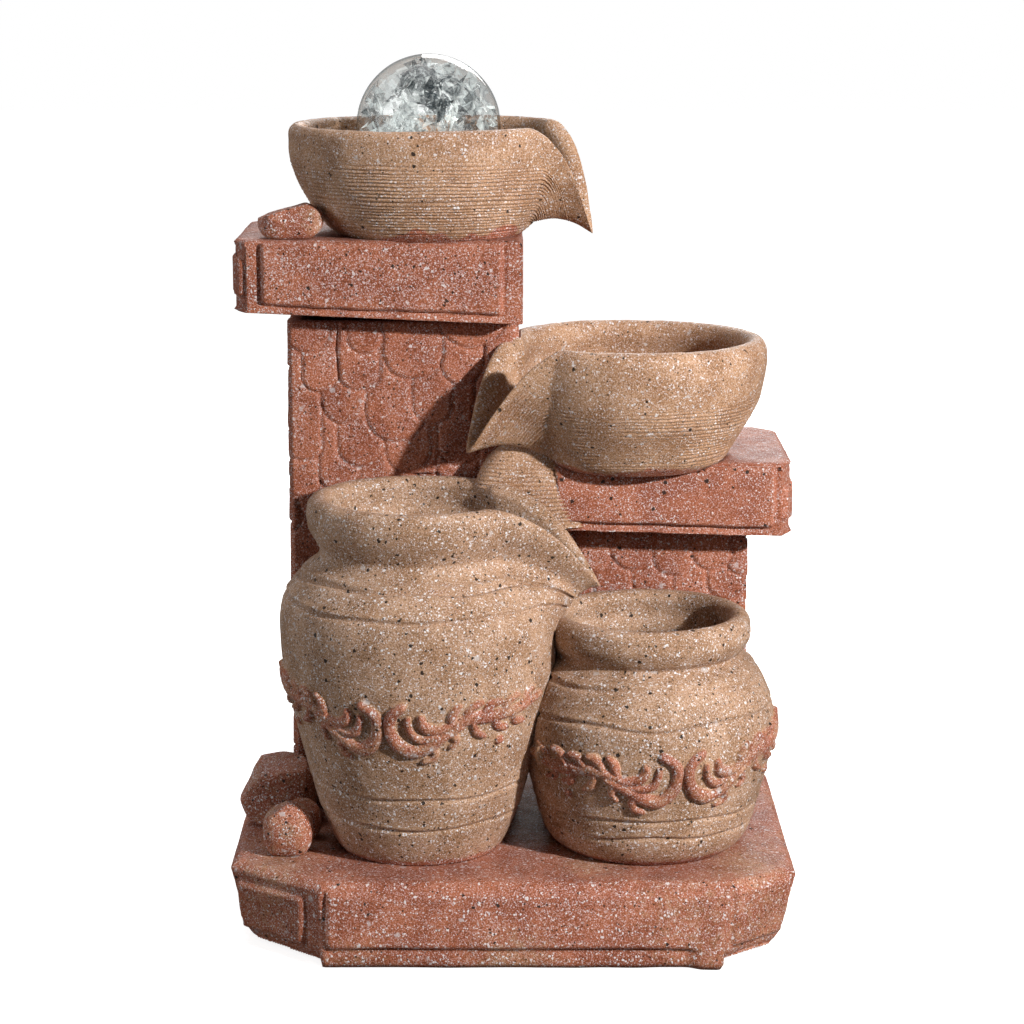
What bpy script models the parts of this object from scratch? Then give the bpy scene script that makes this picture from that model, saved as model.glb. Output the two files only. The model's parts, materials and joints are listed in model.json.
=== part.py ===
"""Tabletop water fountain, cast in stone-filled resin: a hollow plinth carries two clad columns with ledges, two
spouted bowls and two jars. A pump in the tall column feeds a lit nozzle, on which a glass ball turns.

Metres, +Z up, front towards -Y. The origin is the middle of the footprint, on the surface that the feet stand on.
"""

import math

import bmesh
import bpy
from mathutils import Matrix, Vector

MM = 0.001
GAP = 0.3 * MM  # resin line between bonded castings, and clearance between fitted pieces
CUTTER_SWELL = 0.5 * MM  # how far a casting stays off the one it was cut to fit
ROUND_STEPS = 36  # facets round a turned casting
SMALL_STEPS = 20  # facets round a small turned piece

# Levels
PLINTH_FOOT = 1.2 * MM
DECK = 36.5 * MM
UPPER_LEDGE_TOP = 302 * MM
LOWER_LEDGE_TOP = 203 * MM
LEDGE_SINK = 3.5 * MM  # how far a bowl's foot is let into its ledge

# Plinth: an eight-sided block whose sides lean in towards the floor
PLINTH_FRONT = -95 * MM
PLINTH_BACK = 96 * MM
PLINTH_SIDE = 124.2 * MM
SIDE_LEAN = 9 * MM
FRONT_LEFT_X = -82 * MM
FRONT_RIGHT_X = 94 * MM
LEFT_CHAMFER_Y = -64 * MM
RIGHT_CHAMFER_Y = -73 * MM
BACK_CHAMFER = 26 * MM
SHELL = 5 * MM  # wall of the plinth and the columns
DECK_THICKNESS = 5.5 * MM
FLOOR_THICKNESS = 4 * MM
FOOT_RADIUS = 8 * MM
FOOT_INSET = (84 * MM, 66 * MM)

# Columns: outer low and high corners in plan
TALL_COLUMN = ((-100 * MM, 12 * MM), (2 * MM, 88 * MM))
SHORT_COLUMN = ((14 * MM, 14 * MM), (106.5 * MM, 88 * MM))
UPPER_LEDGE_BOTTOM = (270.5 * MM, 265 * MM)  # at its left and right ends
LOWER_LEDGE_BOTTOM = (173 * MM, 169.5 * MM)
LEDGE_POCKET_TOP = 8 * MM  # thickness left above each ledge's pocket

# Vessels: plan position, foot level and wall profile as (radius, height above the foot), foot to lip
UPPER_BOWL_AXIS = Vector((-37.5 * MM, 35 * MM))
LOWER_BOWL_AXIS = Vector((55 * MM, 16 * MM))
TALL_JAR_AXIS = Vector((-41 * MM, -35 * MM))
SHORT_JAR_AXIS = Vector((60 * MM, -31 * MM))
UPPER_BOWL_WALL = ((39, 0), (47, 7), (53.3, 15.5), (58.5, 25), (61.5, 33), (63, 40), (63.2, 47.2))
LOWER_BOWL_WALL = (
    (37, 0), (41.6, 3.4), (46, 10.3), (49.1, 15.8), (52.6, 21.8), (56.1, 28.6), (58.2, 35.5), (59.9, 44.6),
    (59.9, 51),
)  # fmt: skip
TALL_JAR_WALL = (
    (36, 0), (39.8, 7), (44.4, 18.5), (47.8, 30), (52.2, 46.5), (56.5, 65), (59.8, 81), (61, 97), (61, 106),
    (58.8, 115), (52.5, 124), (46, 129.3), (43.2, 133.7), (44.4, 137.4), (48, 144), (49, 149.8), (48.6, 153),
)  # fmt: skip
SHORT_JAR_WALL = (
    (39, 0), (43.3, 4), (46.8, 10.5), (50.1, 22), (53.1, 33.5), (55.5, 45), (56.3, 53.5), (55.6, 63.5),
    (52.3, 73), (47.7, 81), (41, 86.6), (43.2, 90.4), (45.3, 95), (45.2, 99.8),
)  # fmt: skip

VESSEL_WALL = 6.5 * MM

# Glass ball and its seat
BALL_RADIUS = 32.5 * MM
BALL_HEIGHT = 349.2 * MM  # centre
FILM = 0.8 * MM  # water film under the ball
NOZZLE_BORE = 2.5 * MM
SPIGOT_RADIUS = 4.2 * MM
SPIGOT_FOOT = 286 * MM
RISER_HOLE = 8 * MM
LIGHT_FLOOR = UPPER_LEDGE_TOP - LEDGE_SINK + 0.8 * MM + 7 * MM + GAP  # underside of the light ring
LIGHT_RADIUS = 24 * MM
LED_CIRCLE = 15 * MM
LED_COUNT = 4

# Pump: its impeller turns about an axis along Y, in front of the motor block
PUMP_FRONT = 31 * MM
VOLUTE_BACK = 45 * MM
PUMP_BACK = 78 * MM
PUMP_FLOOR = 10.6 * MM
PUMP_TOP = 37 * MM
PUMP_HALF_WIDTH = 19.5 * MM
IMPELLER_HEIGHT = 22 * MM
IMPELLER_RADIUS = 9.2 * MM
IMPELLER_CHAMBER = 10.5 * MM
ROTOR_RADIUS = 5.6 * MM
ROTOR_BORE = 6.3 * MM
SHAFT_RADIUS = 1.2 * MM
RUNNING_CLEARANCE = 0.08 * MM
VANES = 6
OUTLET_TOP = 56 * MM
HOSE_FOOT = 43 * MM
HOSE_TOP = 303 * MM
HOSE_RADIUS = 6.5 * MM
HOSE_BORE = 4.5 * MM

# Access opening in the tall column's back
ACCESS_LOW = (-70 * MM, 45 * MM)
ACCESS_HIGH = (-10 * MM, 100 * MM)
COVER_LIP = 5 * MM
LEAD_HOLE_HEIGHT = 117 * MM
LEAD_HOLE_RADIUS = 5.5 * MM

DRAIN_RADIUS = 8 * MM
STRAINER_RADIUS = 13 * MM


# ---------------------------------------------------------------- scene and materials


def clear_scene():
    for obj in list(bpy.data.objects):
        bpy.data.objects.remove(obj)


def new_collection(name):
    collection = bpy.data.collections.new(name)
    bpy.context.scene.collection.children.link(collection)
    return collection


def material(name, colour, roughness, metallic=0.0, transmission=0.0):
    made = bpy.data.materials.new(name)
    made.use_nodes = True
    shader = made.node_tree.nodes["Principled BSDF"]
    shader.inputs["Base Color"].default_value = (*colour, 1.0)
    shader.inputs["Roughness"].default_value = roughness
    shader.inputs["Metallic"].default_value = metallic
    shader.inputs["Transmission Weight"].default_value = transmission
    return made


clear_scene()
PARTS = new_collection("tabletop_fountain")
CUTTERS = new_collection("cutters")
TERRACOTTA = material("terracotta_resin", (0.46, 0.17, 0.10), 0.75)
SAND = material("sand_resin", (0.55, 0.33, 0.19), 0.7)
GLASS = material("crackle_glass", (0.92, 0.96, 0.97), 0.03, transmission=1.0)
CLEAR = material("clear_plastic", (0.95, 0.95, 0.95), 0.1, transmission=0.9)
WHITE_PLASTIC = material("white_plastic", (0.85, 0.85, 0.83), 0.4)
BLACK_PLASTIC = material("black_plastic", (0.03, 0.03, 0.035), 0.45)
RUBBER = material("rubber", (0.05, 0.05, 0.05), 0.85)
VINYL = material("vinyl_hose", (0.8, 0.85, 0.86), 0.25, transmission=0.6)
BOARD = material("circuit_board", (0.9, 0.9, 0.88), 0.5)
LED = material("led", (1.0, 0.95, 0.8), 0.2)
MAGNET = material("ferrite", (0.08, 0.08, 0.085), 0.5, metallic=0.3)
CERAMIC = material("ceramic_shaft", (0.88, 0.86, 0.8), 0.25)
STEEL = material("steel", (0.6, 0.6, 0.62), 0.3, metallic=1.0)


# ---------------------------------------------------------------- shape helpers


def add(name, mesh, finish, location=(0, 0, 0), sharp_from=40):
    """Links a mesh as a named part. With no finish it is a cutter, which isn't shown."""
    obj = bpy.data.objects.new(name, mesh)
    obj.location = location
    if finish is None:
        CUTTERS.objects.link(obj)
        obj.hide_render = True
        obj.display_type = "WIRE"
        return obj
    PARTS.objects.link(obj)
    mesh.materials.append(finish)
    mesh.shade_smooth()
    mesh.set_sharp_from_angle(angle=math.radians(sharp_from))
    return obj


def mesh_from(bm, name):
    mesh = bpy.data.meshes.new(name)
    bmesh.ops.recalc_face_normals(bm, faces=bm.faces)
    bm.to_mesh(mesh)
    bm.free()
    return mesh


def box_mesh(name, low, high):
    bm = bmesh.new()
    bmesh.ops.create_cube(bm, size=1.0)
    low, high = Vector(low), Vector(high)
    for vert in bm.verts:
        vert.co = [low[k] + (vert.co[k] + 0.5) * (high[k] - low[k]) for k in range(3)]
    return mesh_from(bm, name)


def box(name, low, high, finish=None):
    return add(name, box_mesh(name, low, high), finish)


def rounded_box(name, low, high, radius, finish):
    obj = box(name, low, high, finish)
    bevel = obj.modifiers.new("rounded_edges", "BEVEL")
    bevel.width = radius
    bevel.segments = 2
    bevel.limit_method = "ANGLE"
    return obj


def cylinder(name, radius, start, end, finish=None, steps=SMALL_STEPS):
    """A cylinder between two points."""
    start, end = Vector(start), Vector(end)
    bm = bmesh.new()
    bmesh.ops.create_cone(
        bm, cap_ends=True, segments=steps, radius1=radius, radius2=radius, depth=(end - start).length
    )
    turn = (end - start).to_track_quat("Z", "Y").to_matrix().to_4x4()
    bmesh.ops.transform(bm, verts=bm.verts, matrix=Matrix.Translation((start + end) / 2) @ turn)
    return add(name, mesh_from(bm, name), finish)


def screwed(name, profile, steps):
    """A mesh turned about Z from (radius, height) points. The points run up the inside and down the outside."""
    bm = bmesh.new()
    verts = [bm.verts.new((radius, 0, height)) for radius, height in profile]
    ends = zip(verts, verts[1:] + verts[:1])
    on_axis = profile[0][0] == 0 and profile[-1][0] == 0
    for first, second in list(ends)[: len(verts) - (1 if on_axis else 0)]:
        bm.edges.new((first, second))
    mesh = bpy.data.meshes.new(name)
    bm.to_mesh(mesh)
    bm.free()
    source = bpy.data.objects.new(name + "_profile", mesh)
    CUTTERS.objects.link(source)
    screw = source.modifiers.new("turned", "SCREW")
    screw.steps = steps
    screw.render_steps = steps
    screw.use_merge_vertices = True
    screw.merge_threshold = 0.00001
    bpy.context.view_layer.update()
    graph = bpy.context.evaluated_depsgraph_get()
    turned = bpy.data.meshes.new_from_object(source.evaluated_get(graph))
    turned.name = name
    bpy.data.objects.remove(source)
    bm = bmesh.new()
    bm.from_mesh(turned)
    bmesh.ops.recalc_face_normals(bm, faces=bm.faces)
    bm.to_mesh(turned)
    bm.free()
    return turned


def turned(name, profile, location, finish, steps=SMALL_STEPS, along_y=False):
    obj = add(name, screwed(name, profile, steps), finish, location)
    if along_y:
        obj.data.transform(Matrix.Rotation(math.radians(-90), 4, "X"))
    return obj


def cut(obj, *cutters):
    for cutter in cutters:
        modifier = obj.modifiers.new("cut_" + cutter.name, "BOOLEAN")
        modifier.operation = "DIFFERENCE"
        modifier.object = cutter
    return obj


def join(obj, *others):
    """Unites solid helpers with obj. The helpers stay hidden."""
    for other in others:
        modifier = obj.modifiers.new("join_" + other.name, "BOOLEAN")
        modifier.operation = "UNION"
        modifier.object = other
    return obj


def ring_profile(inner, outer, low, high):
    return [(inner, low), (inner, high), (outer, high), (outer, low)]


# ---------------------------------------------------------------- plinth, columns and ledges


def plinth_outline(inset, lean):
    """The plinth's eight corners, moved in by inset all round, and by lean at the two sides."""
    side = PLINTH_SIDE - inset - lean
    front, back = PLINTH_FRONT + inset, PLINTH_BACK - inset
    return [
        (FRONT_LEFT_X, front),
        (FRONT_RIGHT_X - lean / 2, front),
        (side, RIGHT_CHAMFER_Y),
        (side, back - BACK_CHAMFER),
        (side - BACK_CHAMFER, back),
        (BACK_CHAMFER - side, back),
        (-side, back - BACK_CHAMFER),
        (-side, LEFT_CHAMFER_Y),
    ]


def prism_mesh(name, lower, low, upper, high):
    """A block between two outlines that have the same number of corners."""
    bm = bmesh.new()
    face = bm.faces.new([bm.verts.new((x, y, low)) for x, y in lower])
    top = bmesh.ops.extrude_face_region(bm, geom=[face])["geom"]
    bm.verts.index_update()
    raised = sorted((v for v in top if isinstance(v, bmesh.types.BMVert)), key=lambda v: v.index)
    for vert, (x, y) in zip(raised, upper):
        vert.co = (x, y, high)
    return mesh_from(bm, name)


def base_plinth():
    shell = prism_mesh(
        "base_plinth", plinth_outline(0, SIDE_LEAN), PLINTH_FOOT, plinth_outline(0, 0), DECK
    )
    plinth = add("base_plinth", shell, TERRACOTTA)
    hollow = plinth_outline(SHELL, SIDE_LEAN)
    reservoir = prism_mesh("reservoir", hollow, -0.01, hollow, DECK - DECK_THICKNESS)
    (left, front), (right, back) = TALL_COLUMN
    pump_way = box(
        "pump_way",
        (left + 34 * MM, front + 8 * MM, 0),
        (right - 11 * MM, back - SHELL, DECK + 0.01),
    )
    drain = cylinder("drain_way", DRAIN_RADIUS, (*SHORT_JAR_AXIS, 0), (*SHORT_JAR_AXIS, DECK + 0.01))
    return cut(plinth, add("reservoir", reservoir, None), pump_way, drain)


def base_floor():
    outline = plinth_outline(SHELL + GAP, SIDE_LEAN)
    low = PLINTH_FOOT + 0.8 * MM
    add("base_floor", prism_mesh("base_floor", outline, low, outline, low + FLOOR_THICKNESS), TERRACOTTA)
    for depth, side_y in (("front", -1), ("back", 1)):
        for side, side_x in (("left", -1), ("right", 1)):
            place = (side_x * FOOT_INSET[0], side_y * FOOT_INSET[1])
            cylinder(f"foot_{depth}_{side}", FOOT_RADIUS, (*place, 0), (*place, low - GAP), RUBBER)


def column(name, plan, top, jar_cutter):
    (left, front), (right, back) = plan
    outer = box(name, (left, front, DECK + GAP), (right, back, top), TERRACOTTA)
    hollow = box(
        name + "_hollow",
        (left + SHELL, front + SHELL, 0),
        (right - SHELL, back - SHELL, top + 0.01),
    )
    return cut(outer, hollow, jar_cutter)


def ledge_mesh(name, outline, bottoms, top):
    """A slab of one outline, whose underside slopes from the left level to the right one."""
    left, right = min(x for x, _ in outline), max(x for x, _ in outline)
    mesh = prism_mesh(name, outline, 0, outline, top)
    for vert in mesh.vertices:
        if vert.co.z == 0:
            share = (vert.co.x - left) / (right - left)
            vert.co.z = bottoms[0] + share * (bottoms[1] - bottoms[0])
    return mesh


def ledge(name, outline, bottoms, top, plan):
    """A ledge with a pocket that carries on its column's hollow."""
    slab = add(name, ledge_mesh(name, outline, bottoms, top), TERRACOTTA)
    (left, front), (right, back) = plan
    pocket = box(
        name + "_pocket",
        (left + SHELL, front + SHELL, 0),
        (right - SHELL, back - SHELL, top - LEDGE_POCKET_TOP),
    )
    return cut(slab, pocket)


def upper_ledge(bowl_cutter):
    outline = [
        (-118 * MM, -7 * MM),
        (4.9 * MM, -7 * MM),
        (4.9 * MM, 94 * MM),
        (-112 * MM, 94 * MM),
        (-124 * MM, 82 * MM),
        (-124 * MM, 4 * MM),
    ]
    slab = ledge("upper_ledge", outline, UPPER_LEDGE_BOTTOM, UPPER_LEDGE_TOP, TALL_COLUMN)
    riser = cylinder(
        "riser_way", RISER_HOLE, (*UPPER_BOWL_AXIS, 0.2), (*UPPER_BOWL_AXIS, UPPER_LEDGE_TOP + 0.01)
    )
    return cut(slab, riser, bowl_cutter)


def lower_ledge(bowl_cutter, support_cutter):
    outline = [
        (2 * MM + 2 * GAP, -8 * MM),
        (121.5 * MM, -8 * MM),
        (127 * MM, 6 * MM),
        (127 * MM, 80 * MM),
        (117 * MM, 92 * MM),
        (2 * MM + 2 * GAP, 92 * MM),
    ]
    slab = ledge("lower_ledge", outline, LOWER_LEDGE_BOTTOM, LOWER_LEDGE_TOP, SHORT_COLUMN)
    return cut(slab, bowl_cutter, support_cutter)


# ---------------------------------------------------------------- bowls and jars


def scaled(points):
    return [(radius * MM, height * MM) for radius, height in points]


def radius_at(wall, height):
    """The wall's radius at a height, along straight lines between its points."""
    for (low_radius, low), (high_radius, high) in zip(wall, wall[1:]):
        if height <= high:
            return low_radius + (high_radius - low_radius) * (height - low) / (high - low)
    return wall[-1][0]


def lip_arc(wall, thickness, rise, steps=5):
    """Half an ellipse from the wall's last point over the lip to the inside."""
    radius, height = wall[-1]
    half = thickness / 2
    angles = [math.pi * k / steps for k in range(1, steps + 1)]
    return [(radius - half + half * math.cos(a), height + rise * math.sin(a)) for a in angles]


def inside_wall(wall, thickness, floor, widest):
    """The inner wall below the lip, as (radius, height) from the top down to the floor."""
    levels = [height for _, height in wall if height > floor + 2 * MM][::-1][1:]
    corner = min(radius_at(wall, floor + 5 * MM) - thickness - 3 * MM, widest)
    points = [(min(radius_at(wall, height) - thickness, widest), height) for height in levels]
    return points + [(corner, floor)]


def vessel_profile(wall, lip, rise, thickness, floor, widest=1.0, drain=0.0):
    """Up the inside, over the lip and down the outside, open or closed at the axis."""
    wall = scaled(wall)
    inner = inside_wall(wall, thickness, floor, widest)
    arc = lip_arc(wall, lip, rise)
    start = [(drain, floor)]
    end = [(drain, 0.0)]
    return start + inner[::-1] + arc[::-1] + wall[::-1] + end


def solid_profile(wall, rise, swell):
    """The outside of a vessel as a solid, swollen a little all round, for cutting its neighbours."""
    wall = [(radius + swell, height) for radius, height in scaled(wall)]
    top = wall[-1][1] + rise + swell
    return [(0.0, top), (wall[-1][0], top)] + wall[::-1] + [(wall[0][0], -swell), (0.0, -swell)]


class Spout:
    """A beak drawn out of a vessel's rim: the wall between root and rim is pulled onto a keel line."""

    def __init__(self, angle, half_width, root, tip, rim, arch):
        self.angle = math.radians(angle)
        self.half_width = math.radians(half_width)
        self.root = [value * MM for value in root]  # (radius, height) where the keel leaves the wall
        self.tip = [value * MM for value in tip]
        self.rim = rim * MM
        self.arch = arch * MM

    def keel(self, share, inner):
        """The keel's (radius, height) at a share of the way to the tip. The channel lies above the outside."""
        lift = (1 - 0.5 * share) * 4 * MM if inner else 0.0
        radius = self.root[0] + share * (self.tip[0] - self.root[0]) - (2 * MM if inner else 0.0)
        height = self.root[1] + share * (self.tip[1] - self.root[1])
        return radius, height + self.arch * math.sin(math.pi * share) + lift

    def shape(self, mesh, wall, drop=0.0):
        """Draws the beak out of a mesh. Its keel can be dropped, for a cutter that clears the beak."""
        wall = scaled(wall)
        mesh.transform(Matrix.Rotation(self.angle, 4, "Z"))
        for vert in mesh.vertices:
            radius = math.hypot(vert.co.x, vert.co.y)
            share = (vert.co.z - self.root[1]) / (self.rim - self.root[1])
            if share <= 0 or radius < 0.3 * self.root[0]:
                continue
            share = min(share, 1.0)
            turn = math.atan2(vert.co.y, vert.co.x) - self.angle
            turn = math.atan2(math.sin(turn), math.cos(turn))
            reach = self.half_width * (0.45 + 0.55 * share)
            pull = max(0.0, 1 - abs(turn) / reach) ** 1.15
            if not pull:
                continue
            inner = radius < radius_at(wall, min(vert.co.z, wall[-1][1])) - 2 * MM
            keel_radius, keel_height = self.keel(share, inner)
            along = radius * math.cos(turn)
            across = radius * math.sin(turn)
            along += pull * (keel_radius - along)
            height = vert.co.z + pull * (keel_height - drop - vert.co.z)
            vert.co.x = along * math.cos(self.angle) - across * math.sin(self.angle)
            vert.co.y = along * math.sin(self.angle) + across * math.cos(self.angle)
            vert.co.z = height


UPPER_SPOUT = Spout(angle=-10, half_width=28, root=(46, 7.5), tip=(75.5, 2.5), rim=51.7, arch=4)
LOWER_SPOUT = Spout(angle=207, half_width=27, root=(43, 6), tip=(84.7, 10.5), rim=57.5, arch=5)
JAR_SPOUT = Spout(angle=-4, half_width=38, root=(61, 100), tip=(80, 118), rim=157.7, arch=5)


def vessel(name, axis, foot, wall, profile, spout):
    mesh = screwed(name, profile, ROUND_STEPS)
    if spout:
        spout.shape(mesh, wall)
    return add(name, mesh, SAND, (*axis, foot))


def vessel_cutter(name, axis, foot, wall, rise, spout):
    mesh = screwed(name, solid_profile(wall, rise, CUTTER_SWELL), ROUND_STEPS)
    if spout:
        spout.shape(mesh, wall, 2 * CUTTER_SWELL)
    return add(name, mesh, None, (*axis, foot))


def upper_bowl():
    foot = UPPER_LEDGE_TOP - LEDGE_SINK + 0.8 * MM
    profile = vessel_profile(UPPER_BOWL_WALL, 7.6 * MM, 4.5 * MM, VESSEL_WALL, 7 * MM, drain=RISER_HOLE)
    vessel("upper_bowl", UPPER_BOWL_AXIS, foot, UPPER_BOWL_WALL, profile, UPPER_SPOUT)
    return vessel_cutter("upper_bowl_cutter", UPPER_BOWL_AXIS, foot, UPPER_BOWL_WALL, 4.5 * MM, None)


def lower_bowl():
    """The lower bowl's side is cut flat where it meets the tall column."""
    foot = LOWER_LEDGE_TOP - LEDGE_SINK
    profile = vessel_profile(LOWER_BOWL_WALL, 10.4 * MM, 6.5 * MM, VESSEL_WALL, 8 * MM)
    bowl = vessel("lower_bowl", LOWER_BOWL_AXIS, foot, LOWER_BOWL_WALL, profile, LOWER_SPOUT)
    (left, front), (right, back) = TALL_COLUMN
    side = box("column_side", (left, front - GAP, DECK), (right + GAP, back + GAP, UPPER_LEDGE_TOP))
    cut(bowl, side)
    return vessel_cutter("lower_bowl_cutter", LOWER_BOWL_AXIS, foot, LOWER_BOWL_WALL, 6.5 * MM, LOWER_SPOUT)


def tall_jar():
    foot = DECK + GAP
    profile = vessel_profile(TALL_JAR_WALL, 9.6 * MM, 4.7 * MM, VESSEL_WALL, 8 * MM)
    vessel("tall_jar", TALL_JAR_AXIS, foot, TALL_JAR_WALL, profile, JAR_SPOUT)
    return vessel_cutter("tall_jar_cutter", TALL_JAR_AXIS, foot, TALL_JAR_WALL, 4.7 * MM, JAR_SPOUT)


def short_jar(tall_jar_cutter):
    foot = DECK + GAP
    profile = vessel_profile(
        SHORT_JAR_WALL, 9.6 * MM, 5.1 * MM, VESSEL_WALL, 8 * MM, widest=41 * MM, drain=DRAIN_RADIUS
    )
    jar = vessel("short_jar", SHORT_JAR_AXIS, foot, SHORT_JAR_WALL, profile, None)
    cut(jar, tall_jar_cutter)
    return vessel_cutter("short_jar_cutter", SHORT_JAR_AXIS, foot, SHORT_JAR_WALL, 5.1 * MM, None)


def support_mesh(name, swell):
    """The rounded block under the lower bowl's spout: a box drawn in at the top."""
    low = Vector((-16 * MM - swell, -14 * MM - swell, 176 * MM - swell))
    high = Vector((20 * MM + swell, TALL_COLUMN[0][1] - GAP + swell, 212 * MM + swell))
    bm = bmesh.new()
    bmesh.ops.create_cube(bm, size=1.0)
    bmesh.ops.subdivide_edges(bm, edges=bm.edges, cuts=3, use_grid_fill=True)
    for vert in bm.verts:
        x, y, z = vert.co
        narrow = 1 - 1.1 * max(0.0, z) ** 2
        vert.co.x = low.x + (x * narrow + 0.5) * (high.x - low.x)
        vert.co.y = high.y + (y - 0.5) * narrow * (high.y - low.y)
        vert.co.z = low.z + (z + 0.5 - 0.4 * x * x * max(0.0, z)) * (high.z - low.z)
    return mesh_from(bm, name)


def spout_support(bowl_cutter, jar_cutter):
    support = add("spout_support", support_mesh("spout_support", 0.0), SAND)
    cut(support, bowl_cutter, jar_cutter)
    return add("support_cutter", support_mesh("support_cutter", GAP), None)


def stone(name, centre, radii, turn, lumps, floor):
    """A rounded stone: a squashed sphere with a few flats, level where it stands."""
    bm = bmesh.new()
    bmesh.ops.create_icosphere(bm, subdivisions=2, radius=1.0)
    spin = Matrix.Rotation(math.radians(turn), 3, "Z")
    for vert in bm.verts:
        x, y, z = vert.co
        swell = 1 + lumps * (math.sin(2.3 * x + 1.1 * z) * math.cos(1.9 * y - 0.7 * z))
        point = spin @ Vector((x * radii[0] * MM, y * radii[1] * MM, z * radii[2] * MM)) * swell
        point += Vector(centre) * MM
        point.z = max(point.z, floor + GAP)
        vert.co = point
    return add(name, mesh_from(bm, name), TERRACOTTA)


def stones():
    stone("boulder_left", (-107, -6, 51), (19.5, 17, 18.5), 0, 0.05, DECK)
    stone("pebble_front", (-99, -51, 47.5), (11.5, 11, 12), 20, 0.03, DECK)
    stone("pebble_middle", (-94, -31.5, 45.5), (9, 7.5, 9), 0, 0.03, DECK)
    stone("pebble_upper", (-98.5, 7, 309.5), (15, 10.5, 9), -12, 0.03, UPPER_LEDGE_TOP)


# ---------------------------------------------------------------- ball, seat and light


def crystal_ball():
    bm = bmesh.new()
    bmesh.ops.create_uvsphere(bm, u_segments=28, v_segments=16, radius=BALL_RADIUS)
    add("crystal_ball", mesh_from(bm, "crystal_ball"), GLASS, (*UPPER_BOWL_AXIS, BALL_HEIGHT))


def cup_arc(radius, widest, narrowest, steps=6):
    """Points on a sphere about the ball's centre, between two distances from the axis, relative to the centre."""
    spread = [narrowest + (widest - narrowest) * k / steps for k in range(steps + 1)]
    return [(r, -math.sqrt(radius * radius - r * r)) for r in spread]


def ball_seat():
    """A shallow cup on a tube. The tube is the nozzle, and plugs into the hose."""
    inner = cup_arc(BALL_RADIUS + FILM, 21.5 * MM, NOZZLE_BORE)
    outer = cup_arc(BALL_RADIUS + FILM + 1.8 * MM, 22.2 * MM, SPIGOT_RADIUS)
    foot = SPIGOT_FOOT - BALL_HEIGHT
    profile = [(NOZZLE_BORE, foot)] + inner + outer[::-1] + [(SPIGOT_RADIUS, foot)]
    turned("ball_seat", profile, (*UPPER_BOWL_AXIS, BALL_HEIGHT), CLEAR, ROUND_STEPS)


def light_ring():
    """The light under the ball: a ring-shaped cup, its board and LEDs, and a clear ring over them."""
    centre = (*UPPER_BOWL_AXIS, LIGHT_FLOOR)
    hub, wall, height = 5 * MM, 1.5 * MM, 6.6 * MM
    housing = [
        (hub, 0.0), (hub, height), (hub + wall, height), (hub + wall, wall),
        (LIGHT_RADIUS - wall, wall), (LIGHT_RADIUS - wall, height), (LIGHT_RADIUS, height), (LIGHT_RADIUS, 0.0),
    ]  # fmt: skip
    turned("light_housing", housing, centre, WHITE_PLASTIC)
    inner, outer = hub + wall + GAP, LIGHT_RADIUS - wall - GAP
    turned("light_board", ring_profile(inner, outer, wall + GAP, wall + 1.5 * MM), centre, BOARD)
    turned("light_lens", ring_profile(inner, outer, height - 1.6 * MM, height - 0.1 * MM), centre, CLEAR)
    for number in range(LED_COUNT):
        angle = 2 * math.pi * (number + 0.5) / LED_COUNT
        spot = Vector((*UPPER_BOWL_AXIS, 0)) + Vector((math.cos(angle), math.sin(angle), 0)) * LED_CIRCLE
        low = LIGHT_FLOOR + wall + 1.8 * MM
        start, end = (spot.x, spot.y, low), (spot.x, spot.y, low + 1.3 * MM)
        cylinder(f"led_{number + 1}", 2.5 * MM, start, end, LED, 12)


# ---------------------------------------------------------------- pump and hose


def pump_axis_point(y):
    return Vector((UPPER_BOWL_AXIS.x, y, IMPELLER_HEIGHT))


def pump_housing():
    x = UPPER_BOWL_AXIS.x
    volute = rounded_box(
        "pump_volute",
        (x - PUMP_HALF_WIDTH, PUMP_FRONT, PUMP_FLOOR),
        (x + PUMP_HALF_WIDTH, VOLUTE_BACK, PUMP_TOP),
        2 * MM,
        BLACK_PLASTIC,
    )
    outlet_low = IMPELLER_HEIGHT + IMPELLER_CHAMBER - 3 * MM
    spigot = cylinder(
        "outlet_spigot", SPIGOT_RADIUS, (*UPPER_BOWL_AXIS, PUMP_TOP - 3 * MM), (*UPPER_BOWL_AXIS, OUTLET_TOP)
    )
    outlet = cylinder(
        "outlet_bore", NOZZLE_BORE, (*UPPER_BOWL_AXIS, outlet_low), (*UPPER_BOWL_AXIS, OUTLET_TOP + 0.01)
    )
    chamber = cylinder(
        "impeller_chamber", IMPELLER_CHAMBER, pump_axis_point(0.0), pump_axis_point(VOLUTE_BACK - 2 * MM)
    )
    rotor_way = cylinder("rotor_way", ROTOR_BORE, pump_axis_point(0.0), pump_axis_point(PUMP_BACK - 7 * MM))
    join(volute, spigot)
    cut(volute, outlet, chamber, rotor_way)
    motor = rounded_box(
        "pump_motor",
        (x - PUMP_HALF_WIDTH, VOLUTE_BACK + GAP, PUMP_FLOOR),
        (x + PUMP_HALF_WIDTH, PUMP_BACK, PUMP_TOP),
        3 * MM,
        BLACK_PLASTIC,
    )
    cut(motor, rotor_way)


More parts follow.
